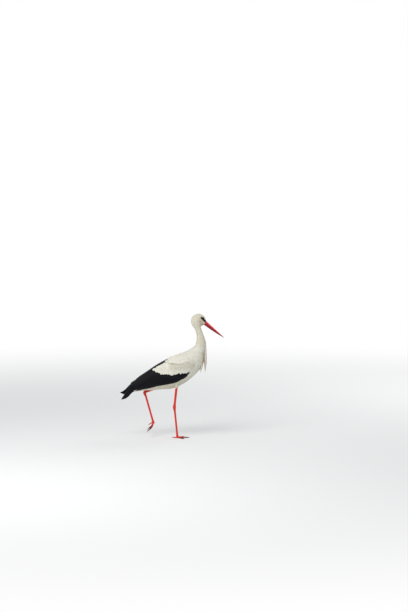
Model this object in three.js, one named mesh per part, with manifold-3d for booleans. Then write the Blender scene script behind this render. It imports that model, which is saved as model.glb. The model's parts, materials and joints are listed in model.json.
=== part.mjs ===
// A white stork, life size, as a still display model: walking, one foot down, the other lifted behind it.
// Millimetres. +X is the way the bird faces, +Y its left, +Z up, with the floor at z = 0.
import * as THREE from "three";
import Module from "manifold-3d";

const wasm = await Module();
wasm.setup();

// ---------------------------------------------------------------- driving dimensions

const JOINT_GAP = 0.4; // clear space between neighbouring pieces
const DEGREE = Math.PI / 180;
const [RIGHT, LEFT] = [-1, 1];

// The plumage outline of head, neck and trunk. Each station is a slice through the bird, seen from
// the side: where it meets the back, where it meets the front or belly, and its half width.
const BODY = {
  billRoot: { back: [206, 838], front: [191, 811], half: 12.5 },
  brow: { back: [191, 873], front: [178, 805], half: 21 },
  crown: { back: [149, 891.5], front: [169, 799], half: 27 },
  hindCrown: { back: [105, 868], front: [168, 792], half: 27.5 },
  nape: { back: [100, 820], front: [170, 784], half: 25 },
  neckTop: { back: [127, 776], front: [177, 766], half: 23 },
  midNeck: { back: [138, 722], front: [190, 731], half: 24.5 },
  neckRoot: { back: [127, 667], front: [203, 680], half: 37 },
  shoulders: { back: [84, 633], front: [197, 606], half: 62 },
  breast: { back: [34, 611], front: [174, 509], half: 78 },
  keel: { back: [-38, 578], front: [75, 411], half: 80 },
  saddle: { back: [-110, 540], front: [-28, 358], half: 75 },
  rump: { back: [-178, 488], front: [-125, 348], half: 58 },
  vent: { back: [-228, 444], front: [-198, 342], half: 38 },
  tailRoot: { back: [-258, 414], front: [-250, 354], half: 22 },
};
const WIDEST = 0.45; // how far from back to front a slice is widest

// The outside of the folded wings. Each slice also has the angles, from the middle of the back
// round the side, at which the wing begins and ends.
const WING = {
  wrist: { back: [64, 616], front: [168, 488], half: 82, from: 74, to: 104 },
  shoulder: { back: [40, 613], front: [140, 476], half: 90, from: 47, to: 116 },
  forearm: { back: [-5, 598], front: [95, 430], half: 92, from: 31, to: 121 },
  elbow: { back: [-55, 579], front: [35, 378], half: 91, from: 20, to: 125 },
  inner: { back: [-110, 550], front: [-40, 350], half: 87, from: 10, to: 119 },
  middle: { back: [-165, 517], front: [-112, 340], half: 78, from: 4.5, to: 121 },
  outer: { back: [-225, 475], front: [-178, 333], half: 66, from: 3.5, to: 125 },
  bunch: { back: [-285, 434], front: [-246, 334], half: 52, from: 5, to: 133 },
  fingers: { back: [-335, 396], front: [-309, 326], half: 40, from: 10, to: 140 },
  fingerEnds: { back: [-375, 341], front: [-351, 286], half: 29, from: 25, to: 135 },
  tip: { back: [-402, 292], front: [-389, 266], half: 21, from: 45, to: 130 },
};
const WING_DEPTH = 16; // how far the wing reaches in from its outside, before the trunk is cut away
const WING_EDGE = 2.4; // thickness at its rim
const TIP_DEPTH = 5; // thickness near the tips
const LEFT_TIP = { from: 7.2, back: -9, up: 44 }; // the left wing bends up from this slice to its tip

// Where the white coverts end and the black flight feathers begin, seen from the side.
const WHITE_EDGE = [[150, 640], [150, 500], [78, 471], [5, 468], [-55, 469], [-112, 465]]
  .concat([[-138, 476], [-167, 483], [-194, 493], [-135, 523], [-88, 550], [-76, 640]]);
const PRIMARY_LINE = [[-272, 470], [-250, 400], [-268, 300]]; // the primaries are behind this line

const BILL = { tip: [332, 720], half: 12, upper: 17, lower: 14.5, tipHalf: 1.2 };
const EYE = { at: [183, 859], out: 14.4, radius: 7.6 };

// The shaggy feathers that hang from the base of the foreneck, as bundles: a middle line, and the
// half depth and half width along it.
const PLUME_FRONT = {
  path: [[200, 0, 672], [199, 0, 610], [199.5, 0, 535], [198, 0, 464]],
  deep: [4, 9, 8.5, 2.5],
  wide: [22, 30, 24, 5],
};
const PLUME_SIDE = {
  path: [[182, 40, 622], [175, 37, 570], [171, 33, 515], [166, 27, 466]],
  deep: [7, 9.5, 8.5, 2.5],
  wide: [7, 9, 8, 3],
};

const TAIL = { root: [-250, 370], tip: [-318, 336], half: 24, tipHalf: 37, depth: 34, tipDepth: 9 };
const TAIL_ARCH = 6; // how far its middle stands above its edges at the tip

// Leg bones: from the feathered thigh down to the joint where the toes begin.
const SHIN_BARE = 146;
const LEGS = {
  right: { side: RIGHT, knee: [5, -50, 466], ankle: [-20.5, -27, 226], toes: [0, -6, 11.5] },
  left: { side: LEFT, knee: [-22, 47, 399], ankle: [-233, 36, 323], toes: [-173, 36, 108] },
};
const THIGH = { top: 36, end: 10.5 };
const SHIN = { top: 9, low: 7.6 };
const ANKLE = { deep: 11.4, wide: 9.2, end: 7.4, endWide: 6.5, reach: 22 };
const TARSUS = { deep: 6.9, wide: 5.9 };
const FOOT = { deep: 10.6, wide: 9.8, high: 12 };

// Toes: heading from straight ahead, turning towards the bird's middle, then length and thickness.
const TOES = {
  middle: { turn: 2, length: 76, thick: 5.6 },
  inner: { turn: 47, length: 60, thick: 5.2 },
  outer: { turn: -48, length: 65, thick: 5.2 },
  hallux: { turn: 160, length: 32, thick: 4.5 },
};
const TOE_START = 6; // from the foot's middle, inside the foot's round pad
const CLAW = { length: 10.5, half: 2.5, tip: 0.8 };

// The lifted foot: how its toes leave it and how they end, below straight back, in degrees.
const LIFTED = {
  middle: { from: 84, to: 42, spread: 0 },
  inner: { from: 76, to: 35, spread: -19 },
  outer: { from: 91, to: 51, spread: 19 },
  hallux: { from: 22, to: 34, spread: -4 },
};

// ---------------------------------------------------------------- materials

const FINISH = {
  plumage: new THREE.MeshStandardMaterial({ color: 0xe4e0d4, roughness: 0.85 }),
  flight: new THREE.MeshStandardMaterial({ color: 0x15151a, roughness: 0.55 }),
  bill: new THREE.MeshStandardMaterial({ color: 0xb5182c, roughness: 0.4 }),
  leg: new THREE.MeshStandardMaterial({ color: 0xd8281e, roughness: 0.55 }),
  claw: new THREE.MeshStandardMaterial({ color: 0x3a2a26, roughness: 0.45 }),
  eye: new THREE.MeshStandardMaterial({ color: 0x120c0a, roughness: 0.08 }),
};

// ---------------------------------------------------------------- curves and solids

// A smooth curve through evenly spaced values.
function spline(values, t) {
  const last = values.length - 1;
  const i = Math.min(Math.max(Math.floor(t), 0), last - 1);
  const f = t - i;
  const at = (k) => values[Math.min(Math.max(k, 0), last)];
  const [a, b, c, d] = [at(i - 1), at(i), at(i + 1), at(i + 2)];
  const cubic = 3 * (b - c) + d - a;
  return b + 0.5 * f * (c - a + f * (2 * a - 5 * b + 4 * c - d + f * cubic));
}

const mix = (a, b, f) => a + (b - a) * f;
const smooth = (f) => THREE.MathUtils.smoothstep(f, 0, 1);

// A point on the oval of a table's slice t, at an angle from the back (0) round to the belly (180),
// on one side of the bird, moved out by grow.
function onSlice(table, t, angle, side, grow = 0) {
  const rows = Object.values(table);
  const read = (key, k) => spline(rows.map((row) => (k === undefined ? row[key] : row[key][k])), t);
  const back = new THREE.Vector3(read("back", 0), 0, read("back", 1));
  const front = new THREE.Vector3(read("front", 0), 0, read("front", 1));
  const across = front.clone().sub(back).normalize();
  back.addScaledVector(across, -grow);
  front.addScaledVector(across, grow);
  const middle = back.clone().lerp(front, WIDEST);
  const c = Math.cos(angle * DEGREE);
  const point = middle.clone().lerp(c > 0 ? back : front, Math.abs(c));
  point.y = side * (read("half") + grow) * Math.sin(angle * DEGREE);
  return point;
}

// The closed surface over rings of points, all of one count, with a fan over each end.
function ringSolid(rings) {
  const count = rings[0].length;
  const points = rings.flat();
  const faces = [];
  for (let r = 0; r + 1 < rings.length; r++)
    for (let k = 0; k < count; k++) {
      const [a, b] = [r * count + k, r * count + ((k + 1) % count)];
      faces.push([a, b, a + count], [b, b + count, a + count]);
    }
  [rings[0], rings[rings.length - 1]].forEach((ring, end) => {
    const first = end * (rings.length - 1) * count;
    const centre = ring.reduce((sum, p) => sum.add(p), new THREE.Vector3()).divideScalar(count);
    points.push(centre);
    for (let k = 0; k < count; k++) {
      const [a, b] = [first + k, first + ((k + 1) % count)];
      faces.push(end ? [a, b, points.length - 1] : [b, a, points.length - 1]);
    }
  });
  const make = (order) =>
    new wasm.Manifold(
      new wasm.Mesh({
        numProp: 3,
        vertProperties: new Float32Array(points.flatMap((p) => p.toArray())),
        triVerts: new Uint32Array(faces.flatMap(order)),
      }),
    );
  const solid = make((face) => face);
  return solid.volume() > 0 ? solid : make((face) => [face[0], face[2], face[1]]);
}

// A sphere's or other library shape's solid, moved to a place.
function libraryShape(geometry, place) {
  const moved = geometry.clone().translate(...place);
  const position = (moved.index ? moved.toNonIndexed() : moved).getAttribute("position");
  const seen = new Map();
  const corners = [];
  const order = [];
  for (let i = 0; i < position.count; i++) {
    const p = new THREE.Vector3().fromBufferAttribute(position, i);
    const key = p.toArray().map((v) => v.toFixed(3)).join();
    if (!seen.has(key)) {
      seen.set(key, seen.size);
      corners.push(...p.toArray());
    }
    order.push(seen.get(key));
  }
  const kept = [];
  for (let i = 0; i < order.length; i += 3) {
    const face = order.slice(i, i + 3);
    if (new Set(face).size === 3) kept.push(...face);
  }
  return new wasm.Manifold(
    new wasm.Mesh({
      numProp: 3,
      vertProperties: new Float32Array(corners),
      triVerts: new Uint32Array(kept),
    }),
  );
}

// A prism over an outline seen from the side, right through the bird.
function sidePrism(outline) {
  const shape = new THREE.Shape(outline.map(([x, z]) => new THREE.Vector2(x, z)));
  const geometry = new THREE.ExtrudeGeometry(shape, { depth: 400, bevelEnabled: false });
  geometry.rotateX(Math.PI / 2);
  return libraryShape(geometry, [0, 200, 0]);
}

// Part of the body between two slices, as a loft with flat ends.
function bodyPiece(from, to, slices, sides, grow = 0) {
  const rings = [];
  for (let r = 0; r <= slices; r++) {
    const t = mix(from, to, r / slices);
    const ring = [];
    for (let k = 0; k < sides; k++) ring.push(onSlice(BODY, t, (360 * k) / sides, LEFT, grow));
    rings.push(ring);
  }
  return ringSolid(rings);
}

// A limb along a smooth path: radiusAt gives its half depth and half width at each share of the way.
// With a floor height, nothing reaches below it, so that the limb stands on a flat.
function limb(path, steps, sides, radiusAt, floor = -Infinity) {
  const points = path.map((p) => new THREE.Vector3(...p));
  const curve = new THREE.CatmullRomCurve3(points, false, "catmullrom", 0.5);
  const rings = [];
  for (let r = 0; r <= steps; r++) {
    const f = r / steps;
    const centre = curve.getPoint(f);
    const along = curve.getTangent(f);
    const wide = new THREE.Vector3(0, 1, 0).addScaledVector(along, -along.y).normalize();
    const deep = along.clone().cross(wide);
    const [halfDeep, halfWide] = radiusAt(f);
    const ring = [];
    for (let k = 0; k < sides; k++) {
      const a = (2 * Math.PI * (k + 0.5)) / sides;
      const p = centre.clone();
      p.addScaledVector(deep, halfDeep * Math.cos(a)).addScaledVector(wide, halfWide * Math.sin(a));
      p.z = Math.max(p.z, floor);
      ring.push(p);
    }
    rings.push(ring);
  }
  return ringSolid(rings);
}

const bird = new THREE.Group();

// Adds the largest body of a solid; cutting can leave slivers beside it.
function add(name, solid, material) {
  const [body] = solid.decompose().sort((a, b) => b.volume() - a.volume());
  const made = body.getMesh();
  const geometry = new THREE.BufferGeometry();
  geometry.setAttribute("position", new THREE.BufferAttribute(made.vertProperties, 3));
  geometry.setIndex(new THREE.BufferAttribute(made.triVerts, 1));
  geometry.computeVertexNormals();
  const mesh = new THREE.Mesh(geometry, material);
  mesh.name = name;
  bird.add(mesh);
}

// ---------------------------------------------------------------- head, neck and trunk

const slice = (name) => Object.keys(BODY).indexOf(name);
const SEAM = 0.012; // a joint gap, counted in slices of the body table

// The lengths that the neck and trunk are cut into: first and last slice, then steps and sides.
const LENGTHS = {
  neck_upper: ["nape", "midNeck", 4, 18],
  neck_lower: ["midNeck", "neckRoot", 3, 20],
  trunk: ["neckRoot", "tailRoot", 18, 24],
};

function length(name, seam, grow) {
  const [from, to, slices, sides] = LENGTHS[name];
  return bodyPiece(slice(from) + seam, slice(to) - seam, slices, sides, grow);
}

// What is cut out of the pieces that lie on the neck and trunk.
const bodyRoom = length("trunk", 0, 2 * JOINT_GAP).add(length("neck_lower", 0, 2 * JOINT_GAP));

function addHead() {
  let head = bodyPiece(slice("billRoot"), slice("nape") - SEAM, 14, 20);
  for (const side of [RIGHT, LEFT]) {
    const place = [EYE.at[0], side * EYE.out, EYE.at[1]];
    const socket = new THREE.SphereGeometry(EYE.radius + JOINT_GAP, 12, 8);
    head = head.subtract(libraryShape(socket, place));
    const ball = libraryShape(new THREE.SphereGeometry(EYE.radius, 12, 8), place);
    add(side === RIGHT ? "eye_right" : "eye_left", ball, FINISH.eye);
  }
  add("head", head, FINISH.plumage);
}

// The closed bill: the cutting edges meet on a level line. The upper half tapers evenly, and the
// lower one keeps its depth longer.
function addBill() {
  const { back, front } = BODY.billRoot;
  const root = new THREE.Vector2(...back).lerp(new THREE.Vector2(...front), 0.52);
  const along = new THREE.Vector2(...BILL.tip).sub(root);
  const length = along.length();
  along.normalize();
  const face = bodyPiece(slice("billRoot"), slice("crown"), 6, 20, JOINT_GAP);
  const halves = [["bill_upper", 1, BILL.upper, 1], ["bill_lower", -1, BILL.lower, 2]];
  for (const [name, up, depth, fullness] of halves) {
    const rings = [];
    for (let r = 0; r <= 8; r++) {
      const f = r / 8;
      const half = mix(BILL.half, BILL.tipHalf, f);
      const high = mix(BILL.tipHalf, depth, 1 - f ** fullness);
      const reach = mix(2 * JOINT_GAP, length, f);
      const ring = [];
      for (let k = 0; k <= 7; k++) {
        const a = (Math.PI * k) / 7;
        const rise = up * (JOINT_GAP / 2 + high * Math.sin(a) ** 0.9);
        const x = root.x + along.x * reach - along.y * rise;
        const z = root.y + along.y * reach + along.x * rise;
        ring.push(new THREE.Vector3(x, half * Math.cos(a), z));
      }
      rings.push(ring);
    }
    add(name, ringSolid(rings).subtract(face), FINISH.bill);
  }
}

function addNeckAndTrunk() {
  for (const name of Object.keys(LENGTHS)) add(name, length(name, SEAM, 0), FINISH.plumage);
}

// The plume bundles lie on the foreneck at their tops and hang free of the breast below.
function addPlumes() {
  const bundle = (shape, side, gap) => {
    const path = shape.path.map(([x, y, z]) => [x, side * y, z]);
    return limb(path, 8, 12, (f) => {
      const t = f * (shape.deep.length - 1);
      return [spline(shape.deep, t) + gap, spline(shape.wide, t) + gap];
    });
  };
  add("plume_front", bundle(PLUME_FRONT, LEFT, 0).subtract(bodyRoom), FINISH.plumage);
  const front = bundle(PLUME_FRONT, LEFT, JOINT_GAP);
  for (const [name, side] of [["plume_right", RIGHT], ["plume_left", LEFT]])
    add(name, bundle(PLUME_SIDE, side, 0).subtract(bodyRoom).subtract(front), FINISH.plumage);
}

function addTail() {
  const rings = [];
  for (let r = 0; r <= 4; r++) {
    const f = r / 4;
    const x = mix(TAIL.root[0], TAIL.tip[0], f);
    const z = mix(TAIL.root[1], TAIL.tip[1], f);
    const half = mix(TAIL.half, TAIL.tipHalf, smooth(f)) * (f === 1 ? 0.86 : 1);
    const depth = mix(TAIL.depth, TAIL.tipDepth, f ** 0.6);
    const ring = [];
    for (let k = 0; k < 14; k++) {
      const a = (2 * Math.PI * k) / 14;
      const arch = TAIL_ARCH * f * Math.cos(a) ** 2;
      ring.push(new THREE.Vector3(x, half * Math.sin(a), z + depth * 0.5 * Math.cos(a) + arch));
    }
    rings.push(ring);
  }
  const cuts = [bodyRoom, thickened(wholeWing(RIGHT)), thickened(wholeWing(LEFT))];
  add("tail", cuts.reduce((rest, cut) => rest.subtract(cut), ringSolid(rings)), FINISH.plumage);
}

// ---------------------------------------------------------------- wings

// A point on a folded wing: t counts the slices from wrist to tip, v runs from its top edge (0) to
// its lower edge (1), and depth goes in towards the body.
function onWing(t, v, side, depth) {
  const rows = Object.values(WING);
  const from = spline(rows.map((row) => row.from), t);
  const to = spline(rows.map((row) => row.to), t);
  const point = onSlice(WING, t, mix(from, to, v), side, -depth);
  const bent = Math.max(0, (t - LEFT_TIP.from) / (rows.length - 1 - LEFT_TIP.from));
  const lift = side === LEFT ? bent ** 2 : 0;
  point.x += LEFT_TIP.back * lift;
  point.z += LEFT_TIP.up * lift;
  return point;
}

function wholeWing(side) {
  const rings = [];
  const [slices, across] = [17, 8];
  const tip = Object.keys(WING).length - 1;
  for (let r = 0; r <= slices; r++) {
    const t = (tip * r) / slices;
    const full = mix(WING_DEPTH, TIP_DEPTH, smooth((t - 4) / 4));
    const outer = [];
    const inner = [];
    for (let k = 0; k <= across; k++) {
      const v = k / across;
      const rim = Math.sqrt(Math.sin(Math.PI * v));
      outer.push(onWing(t, v, side, 0));
      inner.unshift(onWing(t, v, side, mix(Math.min(WING_EDGE, full), full, rim)));
    }
    rings.push([...outer, ...inner]);
  }
  return ringSolid(rings);
}

// A solid grown by the joint gap along each axis, for cutting its neighbour with a clear gap.
function thickened(solid) {
  const g = JOINT_GAP;
  const shifts = [[g, 0, 0], [-g, 0, 0], [0, g, 0], [0, -g, 0], [0, 0, g], [0, 0, -g]];
  return shifts.reduce((sum, shift) => sum.add(solid.translate(shift)), solid);
}

function addWing(side, name) {
  const wing = wholeWing(side).subtract(bodyRoom);
  const behind = [...PRIMARY_LINE, [-500, 200], [-500, 480]];
  const coverts = wing.intersect(sidePrism(WHITE_EDGE));
  const black = wing.subtract(thickened(sidePrism(WHITE_EDGE)));
  const pieces = [
    ["coverts", coverts, FINISH.plumage],
    ["secondaries", black.subtract(thickened(sidePrism(behind))), FINISH.flight],
    ["primaries", black.intersect(sidePrism(behind)), FINISH.flight],
  ];
  for (const [part, solid, material] of pieces) add(`${name}_${part}`, solid, material);
}

// ---------------------------------------------------------------- legs and feet

const between = (a, b, f) => a.map((v, k) => mix(v, b[k], f));
const distance = (a, b) => Math.hypot(...a.map((v, k) => v - b[k]));

function addLeg(name, leg) {
  const bareFrom = between(leg.ankle, leg.knee, SHIN_BARE / distance(leg.ankle, leg.knee));
  const end = JOINT_GAP / distance(leg.ankle, leg.knee);
  const thigh = limb([leg.knee, between(leg.knee, bareFrom, 0.5), bareFrom], 6, 14, (f) => {
    const r = mix(THIGH.top, THIGH.end, f ** 0.7);
    return [r, r * 0.8];
  });
  add(`thigh_${name}`, thigh.subtract(bodyRoom), FINISH.plumage);

  const top = between(bareFrom, leg.ankle, end * 1.5);
  const shinEnd = between(leg.ankle, leg.knee, ANKLE.reach / distance(leg.ankle, leg.knee));
  const shin = limb([top, between(top, shinEnd, 0.5), shinEnd], 5, 10, (f) => {
    const r = mix(SHIN.top, SHIN.low, f);
    return [r, r * 0.9];
  });
  add(`shin_${name}`, shin.subtract(bodyRoom), FINISH.leg);

  const heelTop = between(shinEnd, leg.ankle, end * 3);
  const shankTop = between(leg.ankle, leg.toes, ANKLE.reach / distance(leg.ankle, leg.toes));
  const knob = limb([heelTop, leg.ankle, shankTop], 7, 10, (f) => {
    const swell = Math.sin(Math.PI * f) ** 1.3;
    return [mix(ANKLE.end, ANKLE.deep, swell), mix(ANKLE.endWide, ANKLE.wide, swell)];
  });
  add(`ankle_${name}`, knob, FINISH.leg);

  const shankFrom = between(shankTop, leg.toes, end * 2.2);
  const shankTo = between(leg.toes, leg.ankle, (FOOT.high + 3) / distance(leg.ankle, leg.toes));
  const shank = limb([shankFrom, between(shankFrom, shankTo, 0.5), shankTo], 6, 10, (f) => {
    const flare = 1.2 * Math.abs(2 * f - 1) ** 6;
    return [TARSUS.deep + flare, TARSUS.wide + flare];
  });
  add(`tarsus_${name}`, shank, FINISH.leg);

  const onFloor = leg.toes[2] < 20;
  const down = between(leg.toes, leg.ankle, -(FOOT.high - 1) / distance(leg.ankle, leg.toes));
  const up = between(shankTo, leg.toes, end * 2.5);
  const foot = limb([up, leg.toes, down], 6, 12, (f) => {
    const swell = Math.sin(Math.PI * mix(0.24, 0.85, f));
    return [FOOT.deep * swell, FOOT.wide * swell];
  }, onFloor ? 0 : undefined);
  add(`foot_${name}`, foot, FINISH.leg);

  let taken = thickened(foot);
  for (const [toe, size] of Object.entries(TOES)) {
    const path = onFloor ? standingToe(leg, size) : hangingToe(leg, size, LIFTED[toe]);
    const solid = limb(path, 6, 8, (f) => {
      const knuckles = 1 + 0.07 * Math.cos(2 * Math.PI * 3 * f);
      const r = size.thick * mix(1, 0.72, f) * knuckles;
      return [r, r];
    }, onFloor ? 0 : undefined);
    const kept = solid.subtract(taken);
    taken = taken.add(thickened(solid));
    add(`toe_${name}_${toe}`, kept, FINISH.leg);
    add(`claw_${name}_${toe}`, clawAt(path, size).subtract(taken), FINISH.claw);
  }
}

// A toe flat on the floor, as points from the foot's middle to where the claw begins.
function standingToe(leg, size) {
  const turn = -leg.side * size.turn * DEGREE;
  const path = [];
  for (const f of [0, 0.33, 0.67, 1]) {
    const reach = mix(TOE_START, size.length, f);
    const height = size.thick * mix(0.84, 0.58, f) + 1.4 * (1 - f) ** 2;
    path.push([
      leg.toes[0] + reach * Math.cos(turn),
      leg.toes[1] + reach * Math.sin(turn),
      height,
    ]);
  }
  return path;
}

// A toe of the lifted foot: it hangs down and curls back.
function hangingToe(leg, size, hang) {
  const path = [];
  const step = (size.length - TOE_START) / 3;
  const sideways = hang.spread * leg.side * DEGREE;
  let place = new THREE.Vector3(...leg.toes);
  for (let k = 0; k <= 3; k++) {
    const below = mix(hang.from, hang.to, k / 3) * DEGREE;
    const heading = new THREE.Vector3(
      -Math.cos(below) * Math.cos(sideways),
      Math.sin(sideways),
      -Math.sin(below) * Math.cos(sideways),
    ).normalize();
    place = place.clone().addScaledVector(heading, k ? step : TOE_START);
    path.push(place.toArray());
  }
  return path;
}

// A short blunt claw that goes on from the end of a toe.
function clawAt(path, size) {
  const end = new THREE.Vector3(...path[path.length - 1]);
  const heading = end.clone().sub(new THREE.Vector3(...path[path.length - 2])).normalize();
  const start = end.clone().addScaledVector(heading, JOINT_GAP - 0.8);
  const points = [0, 0.5, 1].map((f) => {
    const p = start.clone().addScaledVector(heading, (CLAW.length + 0.8) * f);
    p.z -= 0.8 * Math.max(0, f - 0.5);
    return p.toArray();
  });
  return limb(points, 3, 6, (f) => {
    const r = mix(CLAW.half * (size.thick / TOES.middle.thick), CLAW.tip, f ** 1.5);
    return [r, r * 1.1];
  }, 0.3);
}

// ---------------------------------------------------------------- the whole bird

addHead();
addBill();
addNeckAndTrunk();
addPlumes();
addTail();
addWing(RIGHT, "wing_right");
addWing(LEFT, "wing_left");
for (const [name, leg] of Object.entries(LEGS)) addLeg(name, leg);

// The origin is the middle of the bird's box, on the floor.
const box = new THREE.Box3().setFromObject(bird);
bird.position.set(-(box.min.x + box.max.x) / 2, -(box.min.y + box.max.y) / 2, 0);

export default bird;
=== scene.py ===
"""A white stork at life size: skin, feathers, bill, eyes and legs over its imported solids.

Sizes are in millimetres in the bird's own frame, with X = 0 at the standing foot, +X the way the
bird faces, +Y its left and Z = 0 the floor. Meshes are made in metres in the row frame.
"""

import json
import math

import bpy
import numpy as np
from mathutils.kdtree import KDTree
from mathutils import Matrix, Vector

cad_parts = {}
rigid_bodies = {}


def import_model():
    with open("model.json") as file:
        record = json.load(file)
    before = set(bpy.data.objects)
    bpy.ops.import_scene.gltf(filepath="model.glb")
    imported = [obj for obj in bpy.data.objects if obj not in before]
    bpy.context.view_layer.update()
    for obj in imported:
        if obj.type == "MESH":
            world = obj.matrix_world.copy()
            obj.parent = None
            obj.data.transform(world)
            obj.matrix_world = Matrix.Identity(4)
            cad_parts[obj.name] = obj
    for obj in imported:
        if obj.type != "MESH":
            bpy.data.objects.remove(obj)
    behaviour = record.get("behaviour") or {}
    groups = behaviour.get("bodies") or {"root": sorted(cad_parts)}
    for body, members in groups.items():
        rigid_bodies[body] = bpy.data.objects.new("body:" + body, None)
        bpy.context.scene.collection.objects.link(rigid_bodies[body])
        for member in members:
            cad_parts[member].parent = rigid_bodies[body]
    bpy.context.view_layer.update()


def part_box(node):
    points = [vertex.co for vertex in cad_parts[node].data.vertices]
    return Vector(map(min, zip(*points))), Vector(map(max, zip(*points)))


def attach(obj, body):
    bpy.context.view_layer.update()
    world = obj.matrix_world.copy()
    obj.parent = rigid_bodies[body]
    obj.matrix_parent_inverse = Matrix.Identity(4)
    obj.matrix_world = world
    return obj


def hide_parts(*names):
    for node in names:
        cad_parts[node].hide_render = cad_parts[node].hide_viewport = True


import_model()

# ---------------------------------------------------------------- driving dimensions

RIGHT, LEFT = -1, 1
WIDEST = 0.45  # how far from back to front a slice through the bird is widest

# The outline of the plumage as slices: where each meets the back and the front or belly, seen
# from the side, and its half width. Then the feathers there: length, width and depth of the coat.
BODY = {
    "bill_root": ([206, 838], [191, 811], 12.5, (5.0, 1.7, 1.1)),
    "brow": ([191, 873], [178, 805], 21, (8.0, 2.0, 1.8)),
    "crown": ([149, 891.5], [169, 799], 27, (11, 2.4, 2.6)),
    "hind_crown": ([105, 868], [168, 792], 27.5, (14, 2.8, 3.2)),
    "nape": ([100, 820], [170, 784], 25, (20, 3.2, 4.0)),
    "neck_top": ([127, 776], [177, 766], 23, (26, 3.7, 4.6)),
    "mid_neck": ([138, 722], [190, 731], 24.5, (32, 4.4, 5.2)),
    "neck_root": ([127, 667], [203, 680], 37, (39, 6.0, 6.4)),
    "shoulders": ([84, 633], [197, 606], 62, (46, 13, 7.6)),
    "breast": ([34, 611], [174, 509], 78, (50, 16, 8.4)),
    "keel": ([-38, 578], [75, 411], 80, (52, 17, 8.6)),
    "saddle": ([-110, 540], [-28, 358], 75, (52, 17, 8.6)),
    "rump": ([-178, 488], [-125, 348], 58, (50, 15, 7.6)),
    "vent": ([-228, 444], [-198, 342], 38, (46, 13, 6.6)),
    "tail_root": ([-258, 414], [-250, 354], 22, (40, 11, 5.6)),
}
LAST = len(BODY) - 1

# The outside of a folded wing as slices from wrist to tip, each with the angles from the middle
# of the back at which the wing begins and ends.
WING = {
    "wrist": ([64, 616], [168, 488], 82, (74, 104)),
    "shoulder": ([40, 613], [140, 476], 90, (47, 116)),
    "forearm": ([-5, 598], [95, 430], 92, (31, 121)),
    "elbow": ([-55, 579], [35, 378], 91, (20, 125)),
    "inner": ([-110, 550], [-40, 350], 87, (10, 119)),
    "middle": ([-165, 517], [-112, 340], 78, (4.5, 121)),
    "outer": ([-225, 475], [-178, 333], 66, (3.5, 125)),
    "bunch": ([-285, 434], [-246, 334], 52, (5, 133)),
    "fingers": ([-335, 396], [-309, 326], 40, (10, 140)),
    "finger_ends": ([-375, 341], [-351, 286], 29, (25, 135)),
    "tip": ([-402, 292], [-389, 266], 21, (45, 130)),
}
LEFT_TIP = {"from": 7.2, "back": -9, "up": 44}  # the left wing bends up from this slice to its tip

# Where the white coverts end and the black flight feathers begin, seen from the side.
WHITE_EDGE = [(150, 640), (150, 500), (78, 471), (5, 468), (-55, 469), (-112, 465),
              (-138, 476), (-167, 483), (-194, 493), (-135, 523), (-88, 550), (-76, 640)]
WING_LOWER_EDGE = [(-220, 345), (-143, 379), (-70, 393), (0, 409), (60, 440), (84, 469)]
SCAPULAR_EDGE = [(-90, 546), (-58, 546), (0, 541), (60, 554), (115, 558)]

# Black feathers of a folded wing: how many, then for the first and the last of them the root and
# the tip seen from the side, the sag, the width, and the heights over the wing at root and tip.
FLIGHT = {
    "primaries": (6, [(-120, 388), (-296, 343), [3], [22], (-9, -6.5)],
                  [(-165, 420), (-362, 295), [-4], [23], (-8, -3.6)]),
    "outer_primaries": (5, [(-172, 426), (-375, 279), [-9], [23], (-7.5, -3.2)],
                        [(-225, 470), (-400, 275), [-23], [21], (-6, -0.8)]),
    "secondaries": (12, [(70, 462), (-70, 400), [14], [28], (-8, -5.5)],
                    [(-95, 500), (-312, 344), [4], [32], (-6, -2.5)]),
    "tertials": (7, [(-100, 486), (-284, 356), [2], [34], (-7, -2.4)],
                 [(-90, 540), (-334, 386), [-7], [32], (-6, -0.8)]),
    "greater_coverts": (15, [(98, 480), (30, 430), [6], [22], (-7, -4.0)],
                        [(-120, 502), (-190, 458), [1], [26], (-5, -1.4)]),
}
# The inmost tertials, along the wing's upper edge: where each starts on the wing and how far it
# runs, its width, and its heights at root and tip. The last closes over the back.
RIDGE_TERTIALS = [((3.3, 0.13), (3.5, 0.05), 20, (-3.5, -2.2)),
                  ((2.9, 0.05), (4.4, 0.04), 24, (-3, -2.4)),
                  ((2.95, -0.03), (4.0, 0.07), 26, (-3, -1.2)),
                  ((2.9, -0.15), (3.7, 0), 26, (-4, -1.6))]
RIDGE_LEAN = 0.4  # how much higher the right one's tip lies there, and how much lower the left one's

BILL = {"tip": (332, 720), "half": 12, "upper": 17, "lower": 14.5, "tip_half": 1.2}
EYE = {"at": (183, 859), "out": 14.4, "radius": 7.6, "open": 5.6, "looks": (0.28, 1.0, 0.05)}
IRIS_SPAN = (21, 40)  # degrees off the way the eye looks where the iris begins and ends
# The section of an eyelid: out from the edge of the eye's opening, and up from the eyeball.
LID_SHAPE = [(-0.1, -0.6), (0.0, 0.35), (0.5, 0.62), (1.2, 0.25), (2.2, -1.0), (3.2, -3.0),
             (3.2, -6.0), (1.0, -6.0)]
# The bare black skin: a strip from behind the eye to the bill, and a ring round the eye.
FACE = {"from": (174, 862), "to": (204, 833), "widens": (176, 204), "half": (6.8, 8.0), "ring": 9.6,
        "soft": 1.4}
JAW = ((161, 818), (190, 812))
BROW = ((168, 868), (8, 6), 0.6)

PLUME_FRONT = {"path": [(200, 0, 672), (199, 0, 610), (199.5, 0, 535), (198, 0, 464)],
               "deep": [4, 9, 8.5, 2.5], "wide": [22, 30, 24, 5]}
PLUME_SIDE = {"path": [(182, 40, 622), (175, 37, 570), (171, 33, 515), (166, 27, 466)],
              "deep": [7, 9.5, 8.5, 2.5], "wide": [7, 9, 8, 3]}
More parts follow.
